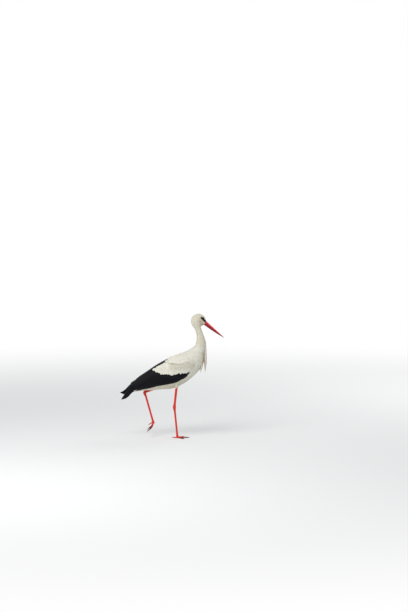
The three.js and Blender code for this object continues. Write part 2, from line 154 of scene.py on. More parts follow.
# The soft feathers over and under the tail's root, as slices like those of the body.
TAIL_COVERTS = {
    "vent": ([-206, 440], [-172, 346], 34, ()),
    "middle": ([-246, 410], [-228, 341], 29, ()),
    "end": ([-280, 384], [-272, 337], 26, ()),
    "tips": ([-312, 352], [-308, 332], 24, ()),
}
TAIL = {"root": (-250, 370), "tip": (-318, 336), "half": 24, "tip_half": 37, "arch": 6, "vanes": 12}

SHIN_BARE = 146
LEGS = {
    "right": {"side": RIGHT, "stands": True, "knee": (5, -50, 466), "ankle": (-20.5, -27, 226),
              "toes": (0, -6, 11.5)},
    "left": {"side": LEFT, "stands": False, "knee": (-22, 47, 399), "ankle": (-233, 36, 323),
             "toes": (-173, 36, 108)},
}
# Half sizes of the parts of a leg, fore and aft and then across, and how far the joints reach up
# and down. flat is the half width as a share of the half depth.
THIGH = {"top": 25, "end": 8.5, "flat": 0.8, "dome": 0.4}
SHIN = {"top": 9, "low": 7.6, "flat": 0.9, "in_thigh": 14}
ANKLE = {"ends": (7.2, 6.3), "middle": (10.7, 8.8), "up": 34, "down": 31}
HEEL = {"half": 8.6, "out": 3.8, "low": 2, "up": 13, "down": 22}
TARSUS = {"deep": 6.9, "wide": 5.9, "flare": 1.2}
FOOT = {"deep": 10.6, "wide": 9.8, "up": 21, "down": 11}
TOES = {  # heading from straight ahead towards the bird's middle, length, half thickness
    "middle": (2, 76, 5.6),
    "inner": (47, 60, 5.2),
    "outer": (-48, 65, 5.2),
    "hallux": (160, 32, 4.5),
}
TOE_START = 6
LIFTED = {  # the lifted foot: heading below straight back at each end, and spread
    "middle": (84, 42, 0),
    "inner": (76, 35, -19),
    "outer": (91, 51, 19),
    "hallux": (22, 34, -4),
}
CLAW = {"length": 10.5, "half": 2.9, "tip": 0.7, "in_toe": 2.4, "droop": 1.0, "floor": 0.3}
LEG_MESH = 0.0011  # metres between the points of the legs' skin
LEG_REACH = {"limb": 16, "foot": 90}  # how far bare skin lies from a leg's lines and from a foot

# The bird's own frame and the row frame differ by a slide along X.
eye_low, eye_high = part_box("eye_right")
SLIDE = 500 * (eye_low.x + eye_high.x) - EYE["at"][0]

# ---------------------------------------------------------------- colours, linear

WHITE = np.array((0.70, 0.683, 0.590))
CREAM = np.array((0.625, 0.572, 0.435))
TAN = np.array((0.40, 0.29, 0.17))
# Grey-green painted shade, with a greenish reflected tone.
SHADE_GREEN = np.array((0.50, 0.47, 0.37))
# Rust-brown stain with painted shade, for the hollow of the plume.
RUSTY_SHADE = np.array((0.50, 0.31, 0.17))
BROWN = np.array((0.17, 0.095, 0.05))
# Painted light: the brighter pink of the lit front strands of the plume.
PLUME_LIT_PINK = np.array((0.86, 0.74, 0.66))
BLACK = np.array((0.0055, 0.0055, 0.0080))
BARE_BLACK = np.array((0.004, 0.0035, 0.004))
CRIMSON = np.array((0.50, 0.010, 0.028))
# Painted highlight: the lighter pink towards the top of the bill.
CULMEN_HIGHLIGHT = np.array((0.76, 0.065, 0.090))
LEG_RED = np.array((0.68, 0.030, 0.016))
MUD = np.array((0.12, 0.020, 0.018))
CLAW_BROWN = np.array((0.07, 0.045, 0.04))
IRIS = np.array((0.020, 0.009, 0.006))
PUPIL, EYE_RIM = 0.002, 0.006  # greys of the eyeball inside the iris and outside it

# Stains of the white plumage, and painted shade: colour, strength, then centre, size and softness from the
# side. The grey-green entries, on the hind neck and low on the belly, are painted shade.
STAINS_AND_SHADE = [(TAN, 0.40, (174, 832), (19, 17), 0.5), (TAN, 0.18, (162, 852), (20, 20), 0.5),
          (SHADE_GREEN, 0.35, (136, 745), (10, 48), 0.35), (TAN, 0.12, (172, 690), (24, 40), 0.35),
          (SHADE_GREEN, 0.35, (20, 385), (120, 32), 0.35)]

# ---------------------------------------------------------------- numbers and curves


def mix(a, b, f):
    return a + (b - a) * f


def smooth(f):
    f = np.clip(f, 0, 1)
    return f * f * (3 - 2 * f)


def ramp(v, start, end):
    """Rises smoothly from 0 to 1 as v goes from start to end."""
    return smooth((v - start) / (end - start))


def length_of(v):
    return np.sqrt((v * v).sum(-1, keepdims=True))


def unit(v):
    return v / np.maximum(length_of(v), 1e-9)


def read(table, t):
    """Rows of numbers read between rows by a smooth curve, and on past its ends by a straight one."""
    table = np.asarray(table, float)
    last = len(table) - 1
    t = np.asarray(t, float)
    inside = np.clip(t, 0, last)
    i = np.minimum(inside.astype(int), last - 1)
    f = (inside - i)[..., None]
    a, b, c, d = (table[np.clip(i + k, 0, last)] for k in (-1, 0, 1, 2))
    curve = b + 0.5 * f * (c - a + f * (2 * a - 5 * b + 4 * c - d + f * (3 * (b - c) + d - a)))
    end_slope = np.where((t < 0)[..., None], table[1] - table[0], table[last] - table[last - 1])
    return curve + (t - inside)[..., None] * end_slope


def inside_outline(x, z, outline):
    """Whether side-view points lie inside a closed outline."""
    found = np.zeros(np.shape(x), bool)
    for (x0, z0), (x1, z1) in zip(outline, outline[1:] + outline[:1]):
        crosses = (z0 > z) != (z1 > z)
        found ^= crosses & (x < (x1 - x0) * (z - z0) / (z1 - z0 + 1e-12) + x0)
    return found


def near_line(x, z, start, end):
    """Distance from side-view points to a straight line between two points."""
    start, end = np.array(start, float), np.array(end, float)
    along = end - start
    p = np.stack([x, z], -1) - start
    f = np.clip((p @ along) / (along @ along), 0, 1)
    return np.hypot(*np.moveaxis(p - f[..., None] * along, -1, 0))


def along_path(path, t):
    """Places at shares t of a path, with unit vectors along it and level across it."""
    where = t * (len(path) - 1)
    along = unit(read(path, where + 0.02) - read(path, where - 0.02))
    return read(path, where), along, unit(np.array((0, 1.0, 0)) - along * along[..., 1:2])


# ---------------------------------------------------------------- surfaces


class Surface:
    """A surface read by two numbers: t runs the way the feathers lie, a runs across them."""

    steps = (0.02, 0.5)

    def slopes(self, t, a):
        dt, da = self.steps
        along = (self.at(t + dt, a) - self.at(t - dt, a)) / (2 * dt)
        across = (self.at(t, a + da) - self.at(t, a - da)) / (2 * da)
        return along, across

    def frame_at(self, t, a):
        """Unit vectors along t, across it, and out of the surface."""
        along, across = self.slopes(t, a)
        out = unit(np.cross(along, across))
        outward = self.at(t, a, 1.0) - self.at(t, a)
        out *= np.sign((out * outward).sum(-1, keepdims=True))
        along = unit(along)
        sideways = np.cross(out, along)
        sideways *= np.sign((sideways * across).sum(-1, keepdims=True))
        return along, sideways, out

    def shifted(self, t, a, move):
        """The place reached from (t, a) by a small move in millimetres."""
        along, across = self.slopes(t, a)
        e, f, g = (along * along).sum(-1), (along * across).sum(-1), (across * across).sum(-1)
        p, q = (move * along).sum(-1), (move * across).sum(-1)
        det = np.maximum(e * g - f * f, 1e-9)
        return t + (g * p - f * q) / det, a + (e * q - f * p) / det

    def area(self, t, a):
        along, across = self.slopes(t, a)
        return length_of(np.cross(along, across))[..., 0]


class Ovals(Surface):
    """Oval slices, with a in degrees from the middle of the back, plus to the bird's left."""

    def __init__(self, rows):
        self.table = [[*back, *front, half] for back, front, half, _ in rows.values()]

    def at(self, t, a, out=0.0):
        t, a, out = np.broadcast_arrays(np.asarray(t, float), a, out)
        row = read(self.table, t)
        back, front, half = row[..., 0:2], row[..., 2:4], row[..., 4]
        across = unit(front - back) * out[..., None]
        back, front = back - across, front + across
        middle = mix(back, front, WIDEST)
        turn = np.radians(a)
        c = np.cos(turn)[..., None]
        side_view = mix(middle, np.where(c > 0, back, front), np.abs(c))
        y = (half + out) * np.sin(turn)
        return np.stack([side_view[..., 0], y, side_view[..., 1]], -1)


class Wing(Ovals):
    """A folded wing, with a from 0 at its top edge to 1 at its lower edge."""

    steps = (0.02, 0.01)

    def __init__(self, side):
        super().__init__(WING)
        self.side = side
        self.angles = [span for *_, span in WING.values()]

    def at(self, t, a, out=0.0):
        t, a, out = np.broadcast_arrays(np.asarray(t, float), a, out)
        span = read(self.angles, t)
        point = super().at(t, self.side * mix(span[..., 0], span[..., 1], a), out)
        if self.side == LEFT:
            lift = np.maximum((t - LEFT_TIP["from"]) / (len(WING) - 1 - LEFT_TIP["from"]), 0) ** 2
            point[..., 0] += LEFT_TIP["back"] * lift
            point[..., 2] += LEFT_TIP["up"] * lift
        return point

    def find(self, x, z):
        """The (t, a) of side-view points on a right wing, which is also where the left has them."""
        grid_t, grid_a = np.meshgrid(np.linspace(-0.8, 10.4, 240), np.linspace(0.02, 1.15, 80))
        grid = Wing(RIGHT).at(grid_t, grid_a)
        off = (grid[..., 0] - x[..., None, None]) ** 2 + (grid[..., 2] - z[..., None, None]) ** 2
        nearest = off.reshape(x.shape + (-1,)).argmin(-1)
        return grid_t.ravel()[nearest], grid_a.ravel()[nearest]


class Limb(Surface):
    """A round limb along a line of points, with t from 0 to 1 and a in degrees round it."""

    steps = (0.01, 0.5)

    def __init__(self, path, radius):
        self.path = np.array(path, float)
        self.radius = radius  # half depth and half width at a share of the way

    def at(self, t, a, out=0.0):
        t, a, out = np.broadcast_arrays(np.asarray(t, float), a, out)
        centre, along, wide = along_path(self.path, t)
        deep = np.cross(along, wide)
        half_deep, half_wide = self.radius(np.clip(t, 0, 1))
        turn = np.radians(a)
        deep = deep * ((half_deep + out) * np.cos(turn))[..., None]
        return centre + deep + wide * ((half_wide + out) * np.sin(turn))[..., None]


class Fan(Surface):
    """The tail as a gently arched fan, with t from root to tip and a from -1 to 1 across it."""

    steps = (0.01, 0.01)

    def at(self, t, a, out=0.0):
        t, a, out = np.broadcast_arrays(np.asarray(t, float), a, out)
        x = mix(TAIL["root"][0], TAIL["tip"][0], t)
        z = mix(TAIL["root"][1], TAIL["tip"][1], t) + TAIL["arch"] * t * (1 - a * a) + out
        return np.stack([x, mix(TAIL["half"], TAIL["tip_half"], smooth(t)) * a, z], -1)


# ---------------------------------------------------------------- meshes


def in_row_frame(points):
    """Points in metres in the row frame, as one run of numbers."""
    return ((points + np.array((SLIDE, 0, 0))) / 1000).astype(np.float32).ravel()


def new_mesh(name, points, loops, starts, attributes=(), maps=(), rim=None):
    """A smooth mesh object from flat arrays. Edges between two rim points are sharp."""
    mesh = bpy.data.meshes.new(name)
    mesh.vertices.add(len(points))
    mesh.vertices.foreach_set("co", in_row_frame(points))
    mesh.loops.add(len(loops))
    mesh.loops.foreach_set("vertex_index", loops.astype(np.int32))
    mesh.polygons.add(len(starts))
    mesh.polygons.foreach_set("loop_start", starts.astype(np.int32))
    for label, values in maps:
        layer = mesh.uv_layers.new(name=label)
        layer.uv.foreach_set("vector", values[loops].astype(np.float32).ravel())
    for label, values in attributes:
        set_colour(mesh, label, values)
    mesh.update(calc_edges=True)
    mesh.shade_smooth()
    if rim is not None:
        ends = np.empty(len(mesh.edges) * 2, np.int32)
        mesh.edges.foreach_get("vertices", ends)
        sharp = mesh.attributes.new("sharp_edge", "BOOLEAN", "EDGE")
        sharp.data.foreach_set("value", rim[ends].reshape(-1, 2).all(1))
    made = bpy.data.objects.new(name, mesh)
    bpy.context.scene.collection.objects.link(made)
    return made


def set_colour(mesh, label, values):
    layer = mesh.attributes.get(label) or mesh.attributes.new(label, "FLOAT_COLOR", "POINT")
    rgba = np.ones((len(mesh.vertices), 4), np.float32)
    rgba[:, :3] = values
    layer.data.foreach_set("color", rgba.ravel())


def points_of(made):
    """A mesh object's points in millimetres in the bird's own frame."""
    co = np.empty(len(made.data.vertices) * 3, np.float32)
    made.data.vertices.foreach_get("co", co)
    return co.reshape(-1, 3).astype(float) * 1000 - np.array((SLIDE, 0, 0))


def raise_points(made, lowest):
    """Lifts those points of a mesh object that lie lower than this."""
    points = points_of(made)
    points[:, 2] = np.maximum(points[:, 2], lowest)
    made.data.vertices.foreach_set("co", in_row_frame(points))
    made.data.update()


def tube_faces(rings, count):
    """Faces of a closed tube: a point, then rings of points, then a point."""
    faces = [[0, 1 + (k + 1) % count, 1 + k] for k in range(count)]
    for r in range(rings - 1):
        for k in range(count):
            a, b = 1 + r * count + k, 1 + r * count + (k + 1) % count
            faces.append([a, b, b + count, a + count])
    last = 1 + (rings - 1) * count
    return faces + [[last + k, last + (k + 1) % count, last + count] for k in range(count)]


def facing_out(faces, points):
    """The faces of a closed shape, turned over if they face inwards."""
    a, b, c = (points[[f[k] for f in faces]] - points.mean(0) for k in range(3))
    return faces if (a * np.cross(b, c)).sum() >= 0 else [f[::-1] for f in faces]


def flat_faces(faces, copies, points_each):
    """Corner indices and face starts of many copies of one set of faces."""
    corners = np.concatenate([np.array(f) for f in faces])
    sizes = np.tile([len(f) for f in faces], copies)
    loops = (corners[None] + points_each * np.arange(copies)[:, None]).ravel()
    return loops, np.concatenate([[0], np.cumsum(sizes)[:-1]])


def tube(name, rings):
    """A closed tube through rings of points, as an object. Its ends are closed to a point."""
    points = np.concatenate([rings[:1].mean(1), rings.reshape(-1, 3), rings[-1:].mean(1)])
    faces = facing_out(tube_faces(*rings.shape[:2]), points)
    return new_mesh(name, points, *flat_faces(faces, 1, len(points)))


def limb_object(name, path, radius, rings, sides):
    t = np.linspace(0, 1, rings)[:, None]
    return tube(name, Limb(path, radius).at(t, (np.arange(sides) * 360 / sides)[None]))


def apply_modifiers(made):
    graph = bpy.context.evaluated_depsgraph_get()
    mesh = bpy.data.meshes.new_from_object(made.evaluated_get(graph))
    made.modifiers.clear()
    made.data = mesh


def joined(name, objects):
    """Several mesh objects as one."""
    for made in bpy.context.scene.objects:
        made.select_set(made in objects)
    bpy.context.view_layer.objects.active = objects[0]
    bpy.ops.object.join()
    objects[0].name = name
    return objects[0]


def finished(made, material, slot, *nodes):
    """Gives a piece its material and body, in place of the nodes named. Its slot is not used."""
    made.data.materials.append(material)
    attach(made, "root")
    if nodes:
        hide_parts(*nodes)


# ---------------------------------------------------------------- markings


def spot(p, centre, size, softness):
    """How far points are within a soft side-view spot, from 0 to 1."""
    d = np.hypot((p[..., 0] - centre[0]) / size[0], (p[..., 2] - centre[1]) / size[1])
    return smooth((1 + softness - d) / (2 * softness))


def face_patch(p):
    """1 on the bare black skin of the face, 0 off it."""
    x, z = p[..., 0], p[..., 2]
    start, end = FACE["widens"]
    half = mix(*FACE["half"], np.clip((x - start) / (end - start), 0, 1))
    strip = near_line(x, z, FACE["from"], FACE["to"]) - half
    ring = np.hypot(x - EYE["at"][0], z - EYE["at"][1]) - FACE["ring"]
    return smooth(0.5 - np.minimum(strip, ring) / FACE["soft"])


def plumage_colour(p):
    """The colour of the white plumage at points on the bird, skin and feathers alike."""
    x, _, z = np.moveaxis(p, -1, 0)
    colour = np.broadcast_to(WHITE, p.shape).copy()

    def blend(towards, amount):
        colour[:] = mix(colour, towards, np.clip(amount, 0, 1)[..., None])

    blend(CREAM, 0.55 * ramp(z, 640, 700) * ramp(x, 60, 100))
    blend(CREAM, 0.55 * ramp(z, 455, 395))
    # Stains, and grey-green painted shade on the hind neck and low on the belly.
    for stain_and_shade, strength, *where in STAINS_AND_SHADE:
        blend(stain_and_shade, strength * spot(p, *where))
    jaw = smooth(1 - near_line(x, z, *JAW) / 4.5)
    blend(BROWN, 0.55 * np.maximum(jaw, 0.6 * spot(p, *BROW)) * (z > 800) * (x > 140))
    return colour


def skin_colour(p):
    patch = face_patch(p) * (p[..., 2] > 790) * (p[..., 0] > 140)
    # The skin under the feathers is painted a tenth darker than they are, as shade between them.
    return mix(plumage_colour(p) * 0.9, BARE_BLACK, patch[..., None])


def leg_colour(points):
    """Red legs, darker towards the ends of the toes."""
    dark = np.zeros(len(points))
    for leg in LEGS.values():
        off = points - np.array(leg["toes"])
        reach = length_of(off)[:, 0]
        up_leg = off @ unit(np.array(leg["ankle"]) - np.array(leg["toes"]))
        dark = np.maximum(dark, ramp(reach, 18, 48) * (reach < 95) * (up_leg < 8))
    return mix(LEG_RED, MUD, 0.85 * dark[:, None])


def white(points, share):
    """White feathers, with painted shade that makes each a little darker where it comes out from under its
    neighbours.
    """
    return plumage_colour(points) * (0.92 + 0.08 * smooth(share * 1.6))[..., None]


def black(points, share):
    """Flight feathers, with a painted highlight that makes the very edge of each tip greyer."""
    return np.broadcast_to(BLACK, points.shape) * (0.8 + 0.5 * share**3)[..., None]


def white_part(p):
    """Whether points lie on the white part of a wing."""
    return inside_outline(p[..., 0], p[..., 2], WHITE_EDGE)


def over_line(p):
    """How far points lie above the line where the scapulars end, seen from the side."""
    return p[..., 2] - np.interp(p[..., 0], *zip(*SCAPULAR_EDGE))


def covert_colour(points, share):
    """White coverts, with painted shade under the scapulars: a grey-tan band with a greenish reflected tone,
    a thin tan line of painted shadow along their edge, and tan painted shadow at the wrist.
    """
    x, below = points[..., 0], -over_line(points)
    # Painted shade under the scapulars, with a greenish reflected tone.
    shade_band = ramp(below, -6, 4) * ramp(below, 62, 32) * ramp(x, -75, -25) * ramp(x, 122, 108)
    colour = mix(white(points, share), SHADE_GREEN, (0.58 * shade_band)[..., None])
    # Painted shadow: a thin tan line along the scapulars' edge, and tan shade at the wrist.
    line = ramp(below, -3, 0) * ramp(below, 9, 4) * ramp(x, -68, -48) * ramp(x, 60, 0)
    wrist = spot(points, (117, 546), (9, 14), 0.6) + 0.7 * spot(points, (120, 505), (10, 16), 0.6)
    return mix(colour, TAN, (0.6 * np.clip(wrist + line, 0, 1))[..., None])


def plume_colour(points, share):
    """Strands in front painted bright and pink, as lit, and rust-brown ones in the hollow behind them, a
    stain with painted shade.
    """
    # Painted light on the front strands.
    colour = mix(white(points, share), PLUME_LIT_PINK, 0.6 * ramp(points[..., :1], 186, 194))
    # Painted shade, with a rust-brown stain, in the hollow.
    return mix(colour, RUSTY_SHADE, (0.5 * spot(points, (183, 560), (12, 80), 0.5))[..., None])


# ---------------------------------------------------------------- materials


def add_node(owner, kind, inputs=(), **settings):
    """A shader node of a material or world. Its inputs are values or other nodes' outputs."""
    node = owner.node_tree.nodes.new(f"ShaderNode{kind}")
    for key, value in settings.items():
        setattr(node, key, value)
    for key, value in dict(inputs).items():
        if isinstance(value, bpy.types.NodeSocket):
            owner.node_tree.links.new(value, node.inputs[key])
        else:
            node.inputs[key].default_value = value
    return node


def math_node(owner, kind, *values):
    return add_node(owner, "Math", enumerate(values), operation=kind).outputs[0]


def ranged(owner, value, low, high, to_low=0.0, to_high=1.0, **settings):
    """A number stretched from one range to another, and kept within that."""
    inputs = {"Value": value, "From Min": low, "From Max": high, "To Min": to_low, "To Max": to_high}
    return add_node(owner, "MapRange", inputs, **settings).outputs[0]


def mottled(owner, noise, depth):
    """A factor near 1 that follows a noise."""
    return ranged(owner, noise, 0.3, 0.7, 1 - depth, 1 + depth)


def mixed_output(owner, kind, factor, first, second):
    """Ends a material or world with two shaders mixed by a factor."""
    both = add_node(owner, "MixShader", enumerate((factor, first.outputs[0], second.outputs[0])))
    add_node(owner, kind, {"Surface": both.outputs[0]})


def new_material(name, roughness, **constants):
    material = bpy.data.materials.new(name)
    material.use_nodes = True
    shader = material.node_tree.nodes["Principled BSDF"]
    shader.inputs["Roughness"].default_value = roughness
    for label, value in constants.items():
        shader.inputs[label.replace("_", " ")].default_value = value
    return material


def colour_and_relief(material, factor, height, bump, distance):
    """Colours a surface by its own tint times a factor, and gives it relief."""
    tint = add_node(material, "Attribute", attribute_name="Tint").outputs["Color"]
    colour = add_node(material, "VectorMath", {0: tint, "Scale": factor}, operation="SCALE")
    relief = add_node(material, "Bump", {"Strength": bump, "Distance": distance, "Height": height})
    inputs = material.node_tree.nodes["Principled BSDF"].inputs
    material.node_tree.links.new(colour.outputs[0], inputs["Base Color"])
    material.node_tree.links.new(relief.outputs[0], inputs["Normal"])
    return material


def vane_material(name, roughness, bands, slant, depth, shaft, bump, **constants):
    """Feather vanes: barbs run slanting out from the shaft, over each feather's own tint."""
    material = new_material(name, roughness, **constants)
    place = add_node(material, "UVMap", uv_map="Vane").outputs[0]
    place = add_node(material, "SeparateXYZ", {0: place}).outputs
    off = math_node(material, "ABSOLUTE", math_node(material, "SUBTRACT", place["X"], 0.5))
    run = math_node(material, "SUBTRACT", math_node(material, "MULTIPLY", place["Y"], bands),
                    math_node(material, "MULTIPLY", off, slant))
    vary = add_node(material, "Attribute", attribute_name="Vary").outputs["Fac"]
    barb_place = add_node(material, "CombineXYZ", enumerate((run, place["X"], vary))).outputs[0]
    inputs = {"Vector": barb_place, "Scale": 1.0, "Detail": 3.0, "Roughness": 0.7}
    barbs = add_node(material, "TexNoise", inputs).outputs["Fac"]
    shaft_line = ranged(material, off, 0.0, 0.045, shaft)
    factor = math_node(material, "MULTIPLY", mottled(material, barbs, depth), shaft_line)
    return colour_and_relief(material, factor, barbs, bump, 0.0004)


def tinted_material(name, roughness, grain, depth, bump, distance, cells=None, stretch=None, **constants):
    """Skin or horn: its own tint, mottled by noise, with a bump of grain or scales.

    stretch turns the grain by an angle seen from the side and draws it out along that line."""
    material = new_material(name, roughness, **constants)
    place = grain_place = add_node(material, "TexCoord").outputs["Object"]
    if stretch:
        turned = {"Vector": place, "Rotation": (0, stretch[0], 0), "Scale": (stretch[1], 1, 1)}
        grain_place = add_node(material, "Mapping", turned).outputs[0]
    noise = add_node(material, "TexNoise", {"Vector": grain_place, "Scale": grain, "Detail": 4.0})
    height = noise.outputs["Fac"]
    factor = mottled(material, height, depth)
    if cells:
        scales = add_node(material, "TexVoronoi", {"Vector": place, "Scale": cells},
                          feature="DISTANCE_TO_EDGE")
        height = ranged(material, scales.outputs["Distance"], 0.0, 0.12, 0.80)
        factor = math_node(material, "MULTIPLY", factor, height)
    return colour_and_relief(material, factor, height, bump, distance)


SOFT_VANE = vane_material("soft_feathers", 0.85, 16, 9, 0.06, 1.03, 0.25, Specular_IOR_Level=0.3)
BLACK_VANE = vane_material("flight_feathers", 0.48, 90, 22, 0.4, 0.6, 0.4, Specular_IOR_Level=0.09)
SKIN = tinted_material("plumage_skin", 0.8, 300, 0.10, 0.4, 0.0006, Specular_IOR_Level=0.25)
LEG = tinted_material("leg_skin", 0.5, 90, 0.16, 0.6, 0.0003, cells=420, Specular_IOR_Level=0.3)
HORN = tinted_material("bill_horn", 0.36, 420, 0.16, 0.35, 0.0003, stretch=(-0.77, 0.06),
                       Specular_IOR_Level=0.3)
CLAW_HORN = tinted_material("claw_horn", 0.42, 400, 0.2, 0.3, 0.0002)
EYE_GLOSS = tinted_material("eye_gloss", 0.06, 900, 0.25, 0.0, 0.0001, Specular_IOR_Level=0.25)

# ---------------------------------------------------------------- feathers

# A vane's outline: shares of its length, and its half width there as a share of the widest.
FORMS = {
    "hair": ([0, 0.22, 0.55, 0.82, 1], [0, 0.85, 1, 0.62, 0]),
    "lock": ([0, 0.12, 0.35, 0.60, 0.82, 1], [0, 0.60, 0.95, 1, 0.66, 0]),
    "covert": ([0, 0.08, 0.25, 0.50, 0.72, 0.88, 0.96, 1], [0, 0.5, 0.9, 1, 0.96, 0.80, 0.55, 0]),
}
# A vane's section, as shares of its half width and of its thickness.
CROSS_SMALL = np.array([(-1, 0), (0, 1), (1, 0), (0, -1)], float)
CROSS_BROAD = np.array([(-1, 0), (-0.55, 0.8), (0, 1), (0.55, 0.8), (1, 0), (0, -0.8)])
CROSS_FLIGHT = np.array([(-1, 0), (-0.9, 0.7), (-0.1, 0.8), (0, 2), (0.1, 0.8), (0.9, 0.7), (1, 0),
                         (0.5, -0.6), (0, -1.2), (-0.5, -0.6)])
BAKE_PATCH = 0.003  # the width of each feather's own patch of the bake map
SCATTER_CELLS, SCATTER_TRIES = 160, 9
AROUND = (-180, 180)


class Coat:
    """Many vanes that become one joined mesh."""

    def __init__(self, name, seed):
        self.name = name
        self.rng = np.random.default_rng(seed)
        self.groups = []

    def add(self, points, across, along, tint, place):
        """points: vanes by rings by cross points. The first and last rings close to a point."""
        vanes, rings, cross = points.shape[:3]

        def flat(value):
            value = np.broadcast_to(value, (vanes, rings, cross) + value.shape[3:])
            middle = value[:, 1:-1].reshape((vanes, -1) + value.shape[3:])
            return np.concatenate([value[:, :1].mean(2), middle, value[:, -1:].mean(2)], 1)

        xyz = flat(points)
        rim = np.ones(xyz.shape[:2], bool)
        rim[:, 1:-1] = np.tile(np.abs(across.reshape(-1)[:cross]) > 0.999, rings - 2)
        vane_map = np.stack([flat(0.5 + 0.5 * across), flat(along)], -1)
        bake_map = place[:, None, :] + BAKE_PATCH * (vane_map - 0.5)
        vary = np.broadcast_to(self.rng.random((vanes, 1, 1)) * 40, xyz.shape[:2] + (1,))
        faces = facing_out(tube_faces(rings - 2, cross), xyz[0])
        loops, starts = flat_faces(faces, vanes, xyz.shape[1])
        self.groups.append((xyz, vane_map, bake_map, flat(tint), vary, rim[..., None], loops, starts))

    def add_vanes(self, points, cross, stops, colour, uneven, place):
        """Adds vanes that share a section and stops. uneven is how much their tints differ."""
        tint = colour(points, np.broadcast_to(stops[None, :, None], points.shape[:3]))
        tint = tint * (1 + uneven * self.rng.standard_normal((len(points), 1, 1, 1)).clip(-2, 2))
        self.add(points, cross[None, None, :, 0], stops[None, :, None], tint, place)

    def build(self, material, slot, *nodes):
        columns = [[] for _ in range(8)]
        points = corners = 0
        for group in self.groups:
            for column, value in zip(columns[:6], group[:6]):
                column.append(value.reshape(-1, value.shape[-1]))
            columns[6].append(group[6] + points)
            columns[7].append(group[7] + corners)
            points += group[0].shape[0] * group[0].shape[1]
            corners += len(group[6])
        xyz, vane_map, bake_map, tint, vary, rim, loops, starts = (np.concatenate(c) for c in columns)
        made = new_mesh(self.name, xyz, loops, starts, [("Tint", tint), ("Vary", vary)],
                        [("Vane", vane_map), ("OFBake", bake_map)], rim[:, 0])
        finished(made, material, slot, *nodes)


def scatter(surface, spans, spacing, rng, keep=None):
    """Roots spread evenly over part of a surface, as far apart as spacing(t) says."""
    (t0, t1), (a0, a1) = spans
    shares = (np.arange(SCATTER_CELLS) + 0.5) / SCATTER_CELLS
    t, a = np.meshgrid(t0 + (t1 - t0) * shares, a0 + (a1 - a0) * shares, indexing="ij")
    t, a = t.ravel(), a.ravel()
    share = surface.area(t, a) * (t1 - t0) * (a1 - a0) / SCATTER_CELLS**2 / spacing(t) ** 2
    chosen = rng.choice(len(t), int(share.sum() * SCATTER_TRIES), p=share / share.sum())
    t = t[chosen] + (rng.random(len(chosen)) - 0.5) * (t1 - t0) / SCATTER_CELLS
    a = a[chosen] + (rng.random(len(chosen)) - 0.5) * (a1 - a0) / SCATTER_CELLS
    if keep is not None:
        kept = keep(t, a, surface.at(t, a))
        t, a = t[kept], a[kept]
    points, room = surface.at(t, a), spacing(t)
    tree = KDTree(len(points))
    for i, p in enumerate(points):
        tree.insert(p, i)
    tree.balance()
    free = np.ones(len(points), bool)
    for i in range(len(points)):
        if free[i]:
            free[[k for _, k, _ in tree.find_range(points[i], room[i])]] = False
            free[i] = True
    return t[free], a[free]


def parted(surface, rng, t, a, turn, length, width, count):
    """Parts each feather into narrow locks that spread a little towards its tip."""
    side = np.tile(np.linspace(-1, 1, count), len(t))
    t, a, turn, length, width = (np.repeat(v, count) for v in (t, a, turn, length, width))
    across = surface.frame_at(t, a)[1]
    t, a = surface.shifted(t, a, across * (side * width * 0.27)[:, None])
    turn = turn + 0.10 * side + rng.normal(0, 0.05, len(t))
    length = length * (1 - 0.10 * np.abs(side)) * rng.uniform(0.86, 1.06, len(t))
    return t, a, turn, length, width * 1.35 / count


def lay(coat, surface, t, a, turn, length, width, root, tip, form, colour, place,
        cross=CROSS_SMALL, thick=0.14, camber=0.10, ragged=0.0):
    """Lays vanes from roots (t, a) along the surface, from height root to height tip over it.

    camber bends their edges down, as a share of their width, and ragged notches their tips."""
    n = len(t)
    turn, length, width, root, tip = (np.broadcast_to(v, n).astype(float)
                                      for v in (turn, length, width, root, tip))
    stops, halves = (np.array(v, float) for v in FORMS[form])
    turn = turn[:, None] + coat.rng.normal(0, 0.08, (n, 1)) * stops
    where_t, where_a = [t], [a]
    for r in range(1, len(stops)):
        along, across, _ = surface.frame_at(where_t[-1], where_a[-1])
        heading = along * np.cos(turn[:, r, None]) + across * np.sin(turn[:, r, None])
        step = heading * (length * (stops[r] - stops[r - 1]))[:, None]
        moved = surface.shifted(where_t[-1], where_a[-1], step)
        where_t.append(moved[0])
        where_a.append(moved[1])
    t_at, a_at = np.stack(where_t, 1), np.stack(where_a, 1)
    along, across, _ = surface.frame_at(t_at, a_at)
    c, s = np.cos(turn)[..., None], np.sin(turn)[..., None]
    heading, sideways = along * c + across * s, across * c - along * s
    half = width[:, None] / 2 * halves
    offset = sideways[:, :, None] * (half[:, :, None] * cross[:, 0])[..., None]
    notch = ragged * length[:, None, None] * coat.rng.random((n, 1, len(cross))) * (stops**4)[:, None]
    offset = offset - heading[:, :, None] * notch[..., None]
    t_far, a_far = surface.shifted(t_at[:, :, None], a_at[:, :, None], offset)
    height = mix(root[:, None], tip[:, None], stops**0.4)[:, :, None]
    height = height + thick * cross[:, 1] * smooth(halves * 2)[:, None]
    height = height - camber * width[:, None, None] * cross[:, 0] ** 2 * halves[:, None]
    coat.add_vanes(surface.at(t_far, a_far, height), cross, stops, colour, 0.04, place(t, a))


def strew(coat, surface, spans, room, turn, length, width, root, tip, form, colour, place,
          size=np.ones_like, keep=None, **look):
    """Scatters vanes over part of a surface and lays them.

    turn is a mean and a spread, and length and tip are ranges. room, length and width are shares
    of size(t), or millimetres without one."""
    rng = coat.rng
    t, a = scatter(surface, spans, lambda t: size(t) * room, rng, keep)
    n = len(t)
    lay(coat, surface, t, a, rng.normal(*turn, n), size(t) * rng.uniform(*length, n), size(t) * width,
        root, rng.uniform(*tip, n), form, colour, place, **look)


